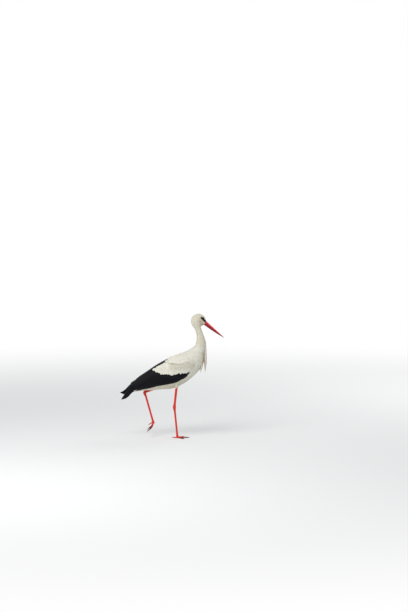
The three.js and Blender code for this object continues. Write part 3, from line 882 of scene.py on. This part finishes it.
def long_vanes(coat, surface, t, a, stops, width, heights, colour, place, camber=0.07, point=0.30,
               shaft=0.3, lean=0.05):
    """Long vanes along lines (t, a). point is how much of the length narrows to the tip, shaft is
    how far the shaft lies off the middle, and lean tucks the upper edge in."""
    halves = np.minimum(ramp(stops, 0, 0.15) ** 0.5, 1) * mix(0.80, 1.0, ramp(stops, 0, 0.5))
    beyond = np.clip((stops - (1 - point)) / point, 0, 1)
    halves = halves * np.sqrt(np.clip(1 - beyond**2.4, 0, 1))
    cross = CROSS_FLIGHT
    height = mix(heights[:, :1], heights[:, 1:], stops)
    heading = unit(np.gradient(surface.at(t, a, height), axis=1))
    _, across, up = surface.frame_at(t, a)
    sideways = unit(np.cross(up, heading))
    sideways = sideways * np.sign((sideways * across).sum(-1, keepdims=True))
    half = width[:, None] / 2 * halves
    x = (cross[:, 0] - shaft * (1 - cross[:, 0] ** 2)) * half[:, :, None]
    z = 0.4 * cross[:, 1] * np.clip(halves * 3, 0, 1)[:, None] + lean * x
    z = z - camber * width[:, None, None] * cross[:, 0] ** 2 * halves[:, None]
    t_far, a_far = surface.shifted(t[:, :, None], a[:, :, None], sideways[:, :, None] * x[..., None])
    points = surface.at(t_far, a_far, height[:, :, None] + z)
    coat.add_vanes(points, cross, stops, colour, 0.10, place(t[:, 0], a[:, 0]))


# ---------------------------------------------------------------- the coat on the body

body = Ovals(BODY)
COAT = [sizes for *_, sizes in BODY.values()]


def unwrapped(t, a, rows):
    """Where a root lies on an unwrap of a surface that runs over this many rows."""
    return np.stack([0.02 + 0.96 * (a + 180) / 360, 0.02 + 0.96 * np.clip(t, 0, rows) / rows], -1)


def body_place(t, a):
    return unwrapped(t, a, len(BODY))


def out_of_wing(t, a, p):
    """Leaves out what lies well under a folded wing, where no body feather shows."""
    x, y, z = np.moveaxis(p, -1, 0)
    lower_edge = np.interp(x, *zip(*WING_LOWER_EDGE))
    return ~((np.abs(y) > 30) & (x < 80) & (z > lower_edge + 16) & (z < 560) & (x > -220))


def off_face(t, a, p):
    """Keeps roots off the bare patch, and off the places whose feathers would lie over it."""
    return (face_patch(p) < 0.3) & (face_patch(body.at(t + 0.12, a)) < 0.3)


def lay_on_body(coat, span, room, keep, form, locks=1, **look):
    """Feathers round a length of the body, room times their length apart, and down below them."""
    rng = coat.rng

    def spread(share):
        """Roots a share of the feathers' length apart, with the sizes of the coat there."""
        t, a = scatter(body, (span, AROUND), lambda t: read(COAT, t)[..., 0] * share, rng, keep)
        return t, a, *np.moveaxis(read(COAT, t), -1, 0)

    t, a, length, width, depth = spread(room)
    turn = rng.normal(0, 0.10, len(t))
    length = length * rng.uniform(0.86, 1.12, len(t))
    width = width * rng.uniform(0.85, 1.12, len(t))
    if locks > 1:
        t, a, turn, length, width = parted(body, rng, t, a, turn, length, width, locks)
        depth = np.repeat(depth, locks)
    tip = rng.uniform(-0.5, 0.1, len(t))
    lay(coat, body, t, a, turn, length, width, -0.62 * depth, tip, form, white, body_place, **look)
    t, a, length, _, depth = spread(0.24)
    lay(coat, body, t, a, rng.normal(0, 0.10, len(t)), 0.9 * length, 0.42 * length, -depth - 0.3,
        -0.2 * depth, "lock", white, body_place)


def dress_body():
    head = Coat("coat_head", seed=11)
    lay_on_body(head, (0.03, 2.4), 0.165, off_face, "hair", thick=0.1)
    lay_on_body(head, (2.4, 4.0), 0.115, None, "lock", thick=0.12)
    neck = Coat("coat_neck", seed=12)
    lay_on_body(neck, (4.0, 7.4), 0.08, None, "lock")
    breast = Coat("coat_breast", seed=13)
    lay_on_body(breast, (7.4, 10.2), 0.12, out_of_wing, "lock", locks=3, thick=0.2)
    # Longer feathers of the mantle, over the front of each wing, and of the throat.
    mantle = (4.2, (0, 0.08), (36, 50), 6.4, -4, (0.6, 1.8))
    throat = (4.4, (0, 0.08), (52, 84), 4.6, -4, (0.5, 3.0))
    for spans, sizes in ((((7.9, 9.3), (28, 82)), mantle), (((7.9, 9.3), (-82, -28)), mantle),
                         (((6.1, 7.7), (142, 218)), throat)):
        strew(breast, body, spans, *sizes, "lock", white, body_place)
    belly = Coat("coat_belly", seed=14)
    lay_on_body(belly, (10.2, LAST + 0.2), 0.12, out_of_wing, "lock", locks=3, thick=0.2)
    for coat in (head, neck, breast, belly):
        coat.build(SOFT_VANE, "white_plumage")


def dress_thighs():
    coat = Coat("coat_thighs", seed=15)
    rng = coat.rng
    for leg in LEGS.values():
        thigh = Limb(*thigh_shape(leg))
        t, a = scatter(thigh, ((0.01, 0.93), AROUND), lambda t: 3.6 + 0 * t, rng)
        length = mix(26, 15, t) * rng.uniform(0.85, 1.1, len(t))
        turn = rng.normal(0, 0.1, len(t))
        tip = mix(4.6, 1.4, t) + rng.uniform(-0.6, 0.3, len(t))
        lay(coat, thigh, t, a, turn, length, mix(6.0, 3.6, t), -0.6, tip, "lock", white,
            lambda t, a: unwrapped(t, a, 1))
    coat.build(SOFT_VANE, "white_plumage")


# ---------------------------------------------------------------- wings, plume and tail


def wing_vanes(coat, wing, rows, place, **look):
    """Black vanes laid by where the roots and tips of their rows are seen from the side."""
    count, first, last = rows
    k = np.linspace(0, 1, count)[:, None]
    root, tip, sag, width, heights = (mix(np.array(a, float), np.array(b, float), k)
                                      for a, b in zip(first, last))
    stops = 1 - (1 - np.linspace(0, 1, 24)) ** 1.35
    line = mix(root[:, None], tip[:, None], stops[None, :, None])
    line[..., 1] -= sag * np.sin(np.pi * stops)
    curve = np.vander(stops, 4)
    t, a = ((curve @ np.linalg.lstsq(curve, v.T, rcond=None)[0]).T
            for v in wing.find(line[..., 0], line[..., 1]))
    long_vanes(coat, wing, t, a, stops, width[:, 0], heights, black, place, **look)


def wing_base(coat, wing, place):
    """The closed shell under the feathers of a wing, with the colour of what lies over it."""
    t = np.linspace(0.15, 7.3, 60)[:, None]
    f = np.linspace(0, 1, 24)[None]
    deep = mix(10.5, 8.5, ramp(t, 4, 7))
    close = 0.30 * ramp(t, 6, 7.3)
    top, low = 0.03 + close, 0.96 - close
    outer = wing.at(t, mix(top, low, f), -deep)
    inner = wing.at(t, mix(low, top, f), -deep - 1.6)
    ring = np.concatenate([outer, inner], 1)
    points = np.concatenate([ring[:1], ring, ring[-1:]])[None]
    tint = np.where(white_part(points)[..., None], plumage_colour(points), BLACK)
    across = np.concatenate([mix(-0.8, 0.8, f), mix(0.8, -0.8, f)], 1)[None]
    along = np.concatenate([t[:1], t, t[-1:]])[None] / 10
    coat.add(points, across, along, tint, place(np.array([4.0]), np.array([0.5])))


def dress_coverts(wing, name, place):
    """The white part of a wing: its shell, small coverts, scapulars and the breast's overlap."""
    coat = Coat(f"coat_{name}_coverts", seed=21 + wing.side)
    broad = {"cross": CROSS_BROAD, "camber": 0.05, "ragged": 0.10}
    wing_base(coat, wing, place)

    def reach(t, a, length):
        """Where the tips of feathers rooted at (t, a) come to lie."""
        along = wing.frame_at(t, a)[0]
        return wing.at(*wing.shifted(t, a, along * length[:, None]))

    # Lesser and median coverts, small at the front and longer behind.
    size = lambda t: mix(19, 38, smooth(t / 4.2))
    inside = lambda t, a, p: (white_part(reach(t, a, 1.05 * size(t))) & white_part(p)
                              & ((over_line(p) < 12) | (t < 0.9)) & ((t < 3.2) | (a > 0.16)))
    strew(coat, wing, ((-0.1, 5.3), (-0.05, 1.0)), 0.25, (0.06, 0.07), (0.92, 1.08), 0.46, -6.5,
          (-2.2, -1.2), "covert", covert_colour, place, size, inside, **broad)
    # Scapulars, from the back down over the wing's upper edge.
    size = lambda t: mix(34, 66, smooth(t / 4))
    inside = lambda t, a, p: ((over_line(reach(t, a, size(t))) > 0) & (over_line(p) > 3)
                              & white_part(reach(t, a, 1.1 * size(t) + 4)))
    strew(coat, wing, ((0.55, 4.2), (-0.5, 0.45)), 0.15, (0.03, 0.06), (0.9, 1.1), 0.26, -7,
          (-0.3, 0.5), "covert", white, place, size, inside, thick=0.2, **broad)
    # Feathers of the breast that lap over the front of the wing.
    strew(coat, wing, ((-0.75, -0.05), (0.1, 0.93)), 3.4, (0, 0.09), (22, 30), 4.6, -6,
          (-1.6, -0.6), "lock", white, place)
    coat.build(SOFT_VANE, "white_plumage", f"{name}_coverts")


def dress_wing(side, name):
    wing = Wing(side)

    def place(t, a):
        u = 0.5 + side * (0.03 + 0.44 * np.clip((a + 0.3) / 1.4, 0, 1))
        return np.stack([u, 0.02 + 0.96 * np.clip(t + 1, 0, 12) / 12], -1)

    dress_coverts(wing, name, place)
    flight = Coat(f"coat_{name}_secondaries", seed=31 + side)
    for part in ("secondaries", "tertials", "greater_coverts"):
        wing_vanes(flight, wing, FLIGHT[part], place)
    start, run, width, heights = (np.array(v, float) for v in zip(*RIDGE_TERTIALS))
    stops = np.linspace(0, 1, 26)
    t, a = (start[:, k, None] + stops * run[:, k, None] for k in (0, 1))
    a[-1] *= (1 - stops) ** 2.2
    heights[-1, 1] -= RIDGE_LEAN * side
    long_vanes(flight, wing, t, a, stops, width, heights, black, place, point=0.4)
    flight.build(BLACK_VANE, "flight_feathers", f"{name}_secondaries")
    tip = Coat(f"coat_{name}_primaries", seed=41 + side)
    for part in ("primaries", "outer_primaries"):
        wing_vanes(tip, wing, FLIGHT[part], place, point=0.45)
    tip.build(BLACK_VANE, "flight_feathers", f"{name}_primaries")


def hang_strands(coat, shape, side, count):
    """Narrow strands down a hanging bundle, each between its own heights and with its own sway."""
    rng = coat.rng
    stops = np.linspace(0, 1, 12)
    start = rng.uniform(0.0, 0.5, count) ** 1.2
    end = np.minimum(start + rng.uniform(0.35, 0.7, count), rng.uniform(0.86, 1.0, count))
    angle = rng.uniform(0, 2 * np.pi, count)
    reach = np.sqrt(rng.random(count)) * 0.9
    t = mix(start[:, None], end[:, None], stops)
    sway = rng.normal(0, 0.2, (count, 2, 1)) * np.sin(np.pi * stops)
    a = (reach * np.sin(angle))[:, None] + sway[:, 0]
    depth = (reach * np.cos(angle))[:, None] + sway[:, 1]
    path = np.array(shape["path"], float) * (1, side, 1)
    centre, along, wide = along_path(path, t)
    out = np.cross(wide, along)
    out = out * np.sign(out[..., :1])
    half_deep, half_wide = (read([[v] for v in shape[key]], t * (len(path) - 1))
                            for key in ("deep", "wide"))
    centre = centre + out * half_deep * depth[..., None] + wide * half_wide * a[..., None]
    halves = np.clip(np.sin(np.pi * stops**0.7), 0, 1) ** 0.7
    halves[0] = halves[-1] = 0
    width = rng.uniform(2.2, 4.4, count)
    twist = (angle + rng.normal(0, 0.35, count))[:, None, None]
    sideways = wide * np.cos(twist) - out * np.sin(twist)
    up = np.cross(sideways, along)
    cross = CROSS_SMALL
    x = width[:, None, None] / 2 * halves[:, None] * cross[:, 0]
    z = 0.3 * cross[:, 1] * np.clip(halves * 2, 0, 1)[:, None] * np.ones((count, 1, 1))
    points = centre[:, :, None] + sideways[:, :, None] * x[..., None] + up[:, :, None] * z[..., None]
    place = np.stack([0.5 + 0.2 * side + 0.1 * a[:, 0], 0.1 + 0.8 * t[:, 0]], -1)
    coat.add_vanes(points, cross, stops, plume_colour, 0.07, place)


def dress_plume():
    coat = Coat("coat_plume", seed=51)
    for shape, side, count in ((PLUME_FRONT, LEFT, 260), (PLUME_SIDE, RIGHT, 90), (PLUME_SIDE, LEFT, 90)):
        hang_strands(coat, shape, side, count)
    coat.build(SOFT_VANE, "white_plumage", "plume_front", "plume_right", "plume_left")


def dress_tail():
    coat = Coat("coat_tail", seed=61)
    k = np.linspace(-1, 1, TAIL["vanes"])[:, None]
    stops = np.linspace(0, 1, 18)
    t = mix(0.0, mix(0.97, 0.90, np.abs(k)), stops)
    a = k * mix(0.75, 0.82, stops)
    high = 2.0 - 3.0 * np.abs(k) + 0.4 * np.sign(k)
    place = lambda t, a: np.stack([0.5 + 0.45 * a, 0.1 + 0.8 * t], -1)
    long_vanes(coat, Fan(), t, a, stops, np.full(len(k), 15.0), np.tile(high, 2), white, place,
               camber=0.04, point=0.2, shaft=0.0, lean=0.0)
    strew(coat, Ovals(TAIL_COVERTS), ((0, 2.4), AROUND), 4.0, (0, 0.12), (24, 38), 5, -5, (-1, 0.5),
          "lock", white, lambda t, a: place(t / 4, np.sin(np.radians(a))))
    coat.build(SOFT_VANE, "white_plumage", "tail")


# ---------------------------------------------------------------- legs


def between(a, b, f):
    return [mix(p, q, f) for p, q in zip(a, b)]


def towards(a, b, reach):
    """The point this many millimetres from a on the way to b."""
    return between(a, b, reach / math.dist(a, b))


def toe_path(leg, name):
    """The line of a toe, spread on the floor or curled under a lifted foot."""
    turn, length, thick = TOES[name]
    place = np.array(leg["toes"], float)
    path = []
    if leg["stands"]:
        heading = math.radians(-leg["side"] * turn)
        for f in (0, 0.33, 0.67, 1):
            reach = mix(TOE_START, length, f)
            height = thick * mix(0.84, 0.58, f) + 1.4 * (1 - f) ** 2
            path.append((place[0] + reach * math.cos(heading), place[1] + reach * math.sin(heading), height))
        return path
    start, end, spread = LIFTED[name]
    sideways = math.radians(spread * leg["side"])
    for k in range(4):
        below = math.radians(mix(start, end, k / 3))
        heading = np.array((-math.cos(below) * math.cos(sideways), math.sin(sideways),
                            -math.sin(below) * math.cos(sideways)))
        step = (length - TOE_START) / 3 if k else TOE_START
        place = place + heading / np.linalg.norm(heading) * step
        path.append(tuple(place))
    return path


def leg_parts(leg):
    """The bare parts of a leg as limbs: name, path and half sizes at each share of the way."""
    knee, ankle, toes = leg["knee"], leg["ankle"], leg["toes"]
    shin_top = towards(towards(ankle, knee, SHIN_BARE), knee, SHIN["in_thigh"])
    up, down = (unit(np.array(end, float) - ankle) for end in (knee, toes))
    heel = -unit(up + down)
    heel_path = [ankle + heel + HEEL["up"] * up, ankle + HEEL["out"] * heel + HEEL["low"] * down,
                 ankle + heel + HEEL["down"] * down]

    def shin(f):
        r = mix(SHIN["top"], SHIN["low"], f)
        return r, r * SHIN["flat"]

    def knob(f):
        swell = np.sin(np.pi * f) ** 1.8
        return [mix(end, middle, swell) for end, middle in zip(ANKLE["ends"], ANKLE["middle"])]

    def shank(f):
        flare = TARSUS["flare"] * np.abs(2 * f - 1) ** 6
        return TARSUS["deep"] + flare, TARSUS["wide"] + flare

    def pad(f):
        swell = mix(0.62, 0.88, smooth(f / 0.6)) * mix(1, 0.75, ramp(f, 0.7, 1))
        return FOOT["deep"] * swell, FOOT["wide"] * swell

    parts = [
        ("shin", [shin_top, between(shin_top, ankle, 0.5), ankle], shin),
        ("ankle", [towards(ankle, knee, ANKLE["up"]), ankle, towards(ankle, toes, ANKLE["down"])], knob),
        ("heel", heel_path, lambda f: (HEEL["half"] * np.sin(np.pi * mix(0.12, 0.88, f)) ** 0.7,) * 2),
        ("tarsus", [ankle, between(ankle, toes, 0.5), between(toes, ankle, 0.03)], shank),
        ("foot", [towards(toes, ankle, FOOT["up"]), toes, towards(toes, ankle, -FOOT["down"])], pad),
    ]
    for name, (_, _, thick) in TOES.items():
        def toe(f, thick=thick):
            r = thick * mix(1, 0.72, f) * (1 + 0.07 * np.cos(6 * np.pi * f))
            r = r * (1 - 0.4 * ramp(f, 0.9, 1))
            return r, r
        parts.append((f"toe_{name}", toe_path(leg, name), toe))
    return parts


def make_leg(name, leg):
    """One leg's bare skin, with its limbs melted into one closed mesh."""
    made = joined(f"leg_{name}", [limb_object(f"{name}_{part}", path, radius, 40, 24)
                                  for part, path, radius in leg_parts(leg)])
    remesh = made.modifiers.new("remesh", "REMESH")
    remesh.mode = "VOXEL"
    remesh.voxel_size = LEG_MESH
    soften = made.modifiers.new("soften", "SMOOTH")
    soften.iterations = 5
    soften.factor = 0.5
    apply_modifiers(made)
    raise_points(made, 0)
    return made


def thigh_shape(leg):
    """The path and half sizes of the skin of a thigh, from inside the belly to the bare shin."""
    knee = leg["knee"]
    bare = towards(leg["ankle"], knee, SHIN_BARE)

    def radius(f):
        r = mix(THIGH["top"], THIGH["end"], f**0.8)
        r = r * np.sqrt(1 - 0.97 * np.clip(1 - f / THIGH["dome"], 0, 1) ** 2)
        return r, r * THIGH["flat"]

    hip = (knee[0] + 12, 0.8 * knee[1], knee[2] + 10)
    return [hip, between(knee, bare, 0.45), bare], radius


def make_claws():
    for name, leg in LEGS.items():
        for toe, (_, _, thick) in TOES.items():
            before, end = (np.array(p) for p in toe_path(leg, toe)[-2:])
            points = [end + unit(end - before) * mix(-CLAW["in_toe"], CLAW["length"], f)
                      - np.array((0, 0, CLAW["droop"] * max(0, f - 0.5))) for f in (0, 0.5, 1)]

            def radius(f, half=CLAW["half"] * thick / TOES["middle"][2]):
                r = mix(half, CLAW["tip"], f**1.5)
                return r, r * 1.1

            made = limb_object(f"claw_{name}_{toe}_horn", points, radius, 14, 16)
            raise_points(made, CLAW["floor"])
            set_colour(made.data, "Tint", CLAW_BROWN)
            finished(made, CLAW_HORN, "claw", f"claw_{name}_{toe}")


# ---------------------------------------------------------------- skin, bill and eyes


def eye_axes(side):
    """An eye's centre, the way it looks out, and the long way of its opening."""
    centre = np.array((EYE["at"][0], side * EYE["out"], EYE["at"][1]))
    axis = unit(np.array(EYE["looks"]) * (1, side, 1))
    (x0, z0), (x1, z1) = FACE["from"], FACE["to"]
    slit = np.array((x1 - x0, 0.0, z1 - z0))
    return centre, axis, unit(slit - axis * (slit @ axis))


def make_lids(name, side):
    """The rim of skin round an eye, thicker above than below, as a closed ring."""
    centre, axis, slit = eye_axes(side)
    up = np.cross(axis, slit) * side
    turn = np.radians(np.arange(96) * 3.75)[:, None]
    shape = np.array(LID_SHAPE)[None]
    corner = 1 + 0.10 * np.abs(np.cos(turn)) ** 8
    radius = EYE["open"] * corner * (1 - 0.10 * np.sin(turn) ** 2)
    thick = 1 + 0.35 * np.clip(np.sin(turn), 0, 1)
    out = radius + shape[..., 0] * thick
    high = np.sqrt(EYE["radius"] ** 2 - radius**2) + shape[..., 1] * thick
    ring = slit * np.cos(turn)[..., None] + up * np.sin(turn)[..., None]
    points = (centre + ring * out[..., None] + axis * high[..., None]).reshape(-1, 3)
    k, count = np.arange(len(points)), len(LID_SHAPE)
    beside = k - k % count + (k + 1) % count
    faces = np.stack([k, (k + count) % len(k), (beside + count) % len(k), beside], 1)
    return new_mesh(name, points, *flat_faces(facing_out(faces.tolist(), points), 1, len(points)))


def on_legs(points):
    """Whether points of the skin lie on the bare legs and feet."""
    found = np.zeros(len(points), bool)
    for leg in LEGS.values():
        bare = towards(leg["ankle"], leg["knee"], SHIN_BARE)
        for start, end in ((bare, leg["ankle"]), (leg["ankle"], leg["toes"])):
            start, end = np.array(start), np.array(end)
            f = np.clip((points - start) @ (end - start) / ((end - start) @ (end - start)), 0, 1)
            off = length_of(points - start - f[:, None] * (end - start))[:, 0]
            found |= (off < LEG_REACH["limb"]) & (f > 0)
        found |= length_of(points - np.array(leg["toes"]))[:, 0] < LEG_REACH["foot"]
    return found


def make_skin():
    """One skin over head, neck, trunk, legs and toes."""
    t = np.concatenate([np.linspace(0, 1.8, 100)[:-1], np.linspace(1.8, 4, 50)[:-1],
                        np.linspace(4, LAST - 0.1, 90)])[:, None]
    skin = tube("skin", body.at(t, (np.arange(180) * 2)[None], -read(COAT, t)[..., 2]))
    for name, leg in LEGS.items():
        thigh = limb_object(f"thigh_skin_{name}", *thigh_shape(leg), 30, 32)
        for piece in (make_lids(f"lids_{name}", leg["side"]), thigh, make_leg(name, leg)):
            union = skin.modifiers.new(piece.name, "BOOLEAN")
            union.operation = "UNION"
            union.solver = "MANIFOLD"
            union.object = piece
            apply_modifiers(skin)
            bpy.data.objects.remove(piece)
    points = points_of(skin)
    bare = on_legs(points)
    set_colour(skin.data, "Tint", np.where(bare[:, None], leg_colour(points), skin_colour(points)))
    skin.data.shade_smooth()
    nodes = ["head", "neck_upper", "neck_lower", "trunk"]
    for name in LEGS:
        nodes += [f"{part}_{name}" for part in ("thigh", "shin", "ankle", "tarsus", "foot")]
        nodes += [f"toe_{name}_{toe}" for toe in TOES]
    skin.data.materials.clear()
    finished(skin, SKIN, "feathered_body", *nodes)
    skin.data.materials.append(LEG)
    corner = np.empty(len(skin.data.loops), np.int32)
    skin.data.loops.foreach_get("vertex_index", corner)
    first = np.empty(len(skin.data.polygons), np.int32)
    skin.data.polygons.foreach_get("loop_start", first)
    skin.data.polygons.foreach_set("material_index", bare[corner[first]].astype(np.int32))


def make_bill():
    back, front = (np.array(v, float) for v in BODY["bill_root"][:2])
    root = mix(back, front, 0.52)
    along = np.array(BILL["tip"], float) - root
    length = np.linalg.norm(along)
    along /= length
    out = np.array((-along[1], along[0]))
    f = np.linspace(0, 1, 120)[:, None] ** 1.3
    a = np.pi * smooth(np.linspace(0, 1, 44))[None]
    nostril = np.exp(-((f - 0.135) / 0.04) ** 4 - ((np.minimum(a, np.pi - a) - 0.5) / 0.10) ** 2)
    # edge is the tint at the far edge of each mandible: a painted highlight on top of the upper one, painted
    # shade along the bottom of the lower one.
    for name, up, fullness, edge in (("upper", 1, 1, CULMEN_HIGHLIGHT), ("lower", -1, 2, CRIMSON * 0.30)):
        depth, dent = BILL[name], nostril * (up > 0)
        rise = up * (0.05 + mix(BILL["tip_half"], depth, 1 - f**fullness) * np.sin(a) ** 0.9)
        side = mix(BILL["half"], BILL["tip_half"], f) * np.cos(a) * (1 - 0.16 * dent)
        x, z = (root[k] + along[k] * mix(-4.0, length, f) + out[k] * rise for k in (0, 1))
        made = tube(f"bill_{name}_horn", np.stack([x, side, z], -1))
        off = points_of(made)[:, [0, 2]] - root
        run, seam = off @ along / length, np.abs(off @ out)
        # The upper mandible goes lighter and pinker towards its top, a painted highlight, and the lower one
        # darker towards its lower edge, painted shade.
        tint = mix(CRIMSON * 0.70, edge, np.clip(1.2 * seam / mix(depth, 4, run), 0, 1)[:, None])
        tint = mix(tint, CRIMSON * 0.35, ramp(run, 0.03, -0.05)[:, None])
        dark = ramp(seam, 0.7, 0.2)
        # The nostril slit is painted dark, as shade in it.
        dark[1:-1] = np.maximum(dark[1:-1], 0.85 * dent.ravel() ** 2)
        set_colour(made.data, "Tint", mix(tint, CRIMSON * 0.12, dark[:, None]))
        finished(made, HORN, "bill", f"bill_{name}")


def make_eyes():
    for side, name in ((RIGHT, "right"), (LEFT, "left")):
        centre, axis, across = eye_axes(side)
        up = np.cross(across, axis)
        polar = np.radians(np.linspace(2, 178, 60))[:, None, None]
        turn = np.radians(np.arange(48) * 7.5)[None, :, None]
        ring = across * np.cos(turn) + up * np.sin(turn)
        made = tube(f"eye_{name}_ball",
                    centre + EYE["radius"] * (axis * np.cos(polar) + ring * np.sin(polar)))
        off = np.degrees(np.arccos(np.clip(unit(points_of(made) - centre) @ axis, -1, 1)))[:, None]
        tint = np.where(off < IRIS_SPAN[0], PUPIL, np.where(off > IRIS_SPAN[1], EYE_RIM, IRIS))
        set_colour(made.data, "Tint", tint)
        finished(made, EYE_GLOSS, "eye", f"eye_{name}")


# ---------------------------------------------------------------- floor, light and camera

PURE_WHITE = (1, 1, 1, 1)
FLOOR = {"radius": 60, "colour": (0.80, 0.80, 0.79, 1), "fades": (1.2, 6.0)}  # sizes in metres
SOFT_LIGHT = {"Color": (0.95, 0.97, 1.0, 1), "Strength": 0.62}
LAMPS = {"key": ((-1.6, -3.0, 3.6), 2.6, 118), "fill": ((2.6, 2.4, 2.6), 3.0, 48)}
LAMPS_AIM = (0, 0, 0.5)
CAMERA = {"at": (0.22825, -17.667, 2.7195), "down": 5.733, "sensor": 36, "lens": 147.06, "far": 200}


def make_stage():
    bpy.ops.mesh.primitive_circle_add(vertices=96, radius=FLOOR["radius"], fill_type="NGON")
    floor = bpy.context.object
    floor.name = "floor"
    material = bpy.data.materials.new("pale_floor")
    material.use_nodes = True
    material.node_tree.nodes.clear()
    place = add_node(material, "TexCoord").outputs["Object"]
    far = add_node(material, "VectorMath", {0: place}, operation="LENGTH").outputs["Value"]
    fade = ranged(material, far, *FLOOR["fades"], interpolation_type="SMOOTHSTEP")
    ray = add_node(material, "LightPath").outputs
    mixed_output(material, "OutputMaterial", math_node(material, "MULTIPLY", fade, ray["Is Camera Ray"]),
                 add_node(material, "BsdfDiffuse", {"Color": FLOOR["colour"]}),
                 add_node(material, "Emission", {"Color": PURE_WHITE}))
    floor.data.materials.append(material)


def make_light():
    world = bpy.data.worlds.new("studio")
    bpy.context.scene.world = world
    world.use_nodes = True
    world.node_tree.nodes.clear()
    ray = add_node(world, "LightPath").outputs
    seen = math_node(world, "MAXIMUM", ray["Is Camera Ray"], ray["Is Glossy Ray"])
    seen = math_node(world, "MAXIMUM", seen, ray["Is Transmission Ray"])
    mixed_output(world, "OutputWorld", seen, add_node(world, "Background", SOFT_LIGHT),
                 add_node(world, "Background", {"Color": PURE_WHITE}))
    for name, (place, size, power) in LAMPS.items():
        lamp = bpy.data.lights.new(name, "AREA")
        lamp.size = size
        lamp.energy = power
        holder = bpy.data.objects.new(name, lamp)
        holder.location = place
        x, y, z = np.array(LAMPS_AIM) - np.array(place)
        holder.rotation_euler = (math.atan2(math.hypot(x, y), -z), 0, math.atan2(y, x) - math.pi / 2)
        bpy.context.scene.collection.objects.link(holder)


def make_camera():
    data = bpy.data.cameras.new("camera")
    data.sensor_width = CAMERA["sensor"]
    data.lens = CAMERA["lens"]
    data.clip_end = CAMERA["far"]
    camera = bpy.data.objects.new("camera", data)
    camera.location = CAMERA["at"]
    camera.rotation_euler = (math.radians(90 - CAMERA["down"]), 0, 0)
    bpy.context.scene.collection.objects.link(camera)
    bpy.context.scene.camera = camera
    bpy.context.scene.view_settings.view_transform = "Standard"


# ---------------------------------------------------------------- the whole scene

make_camera()
make_light()
make_stage()
make_skin()
make_bill()
make_eyes()
make_claws()
dress_body()
dress_thighs()
dress_wing(RIGHT, "wing_right")
dress_wing(LEFT, "wing_left")
dress_plume()
dress_tail()
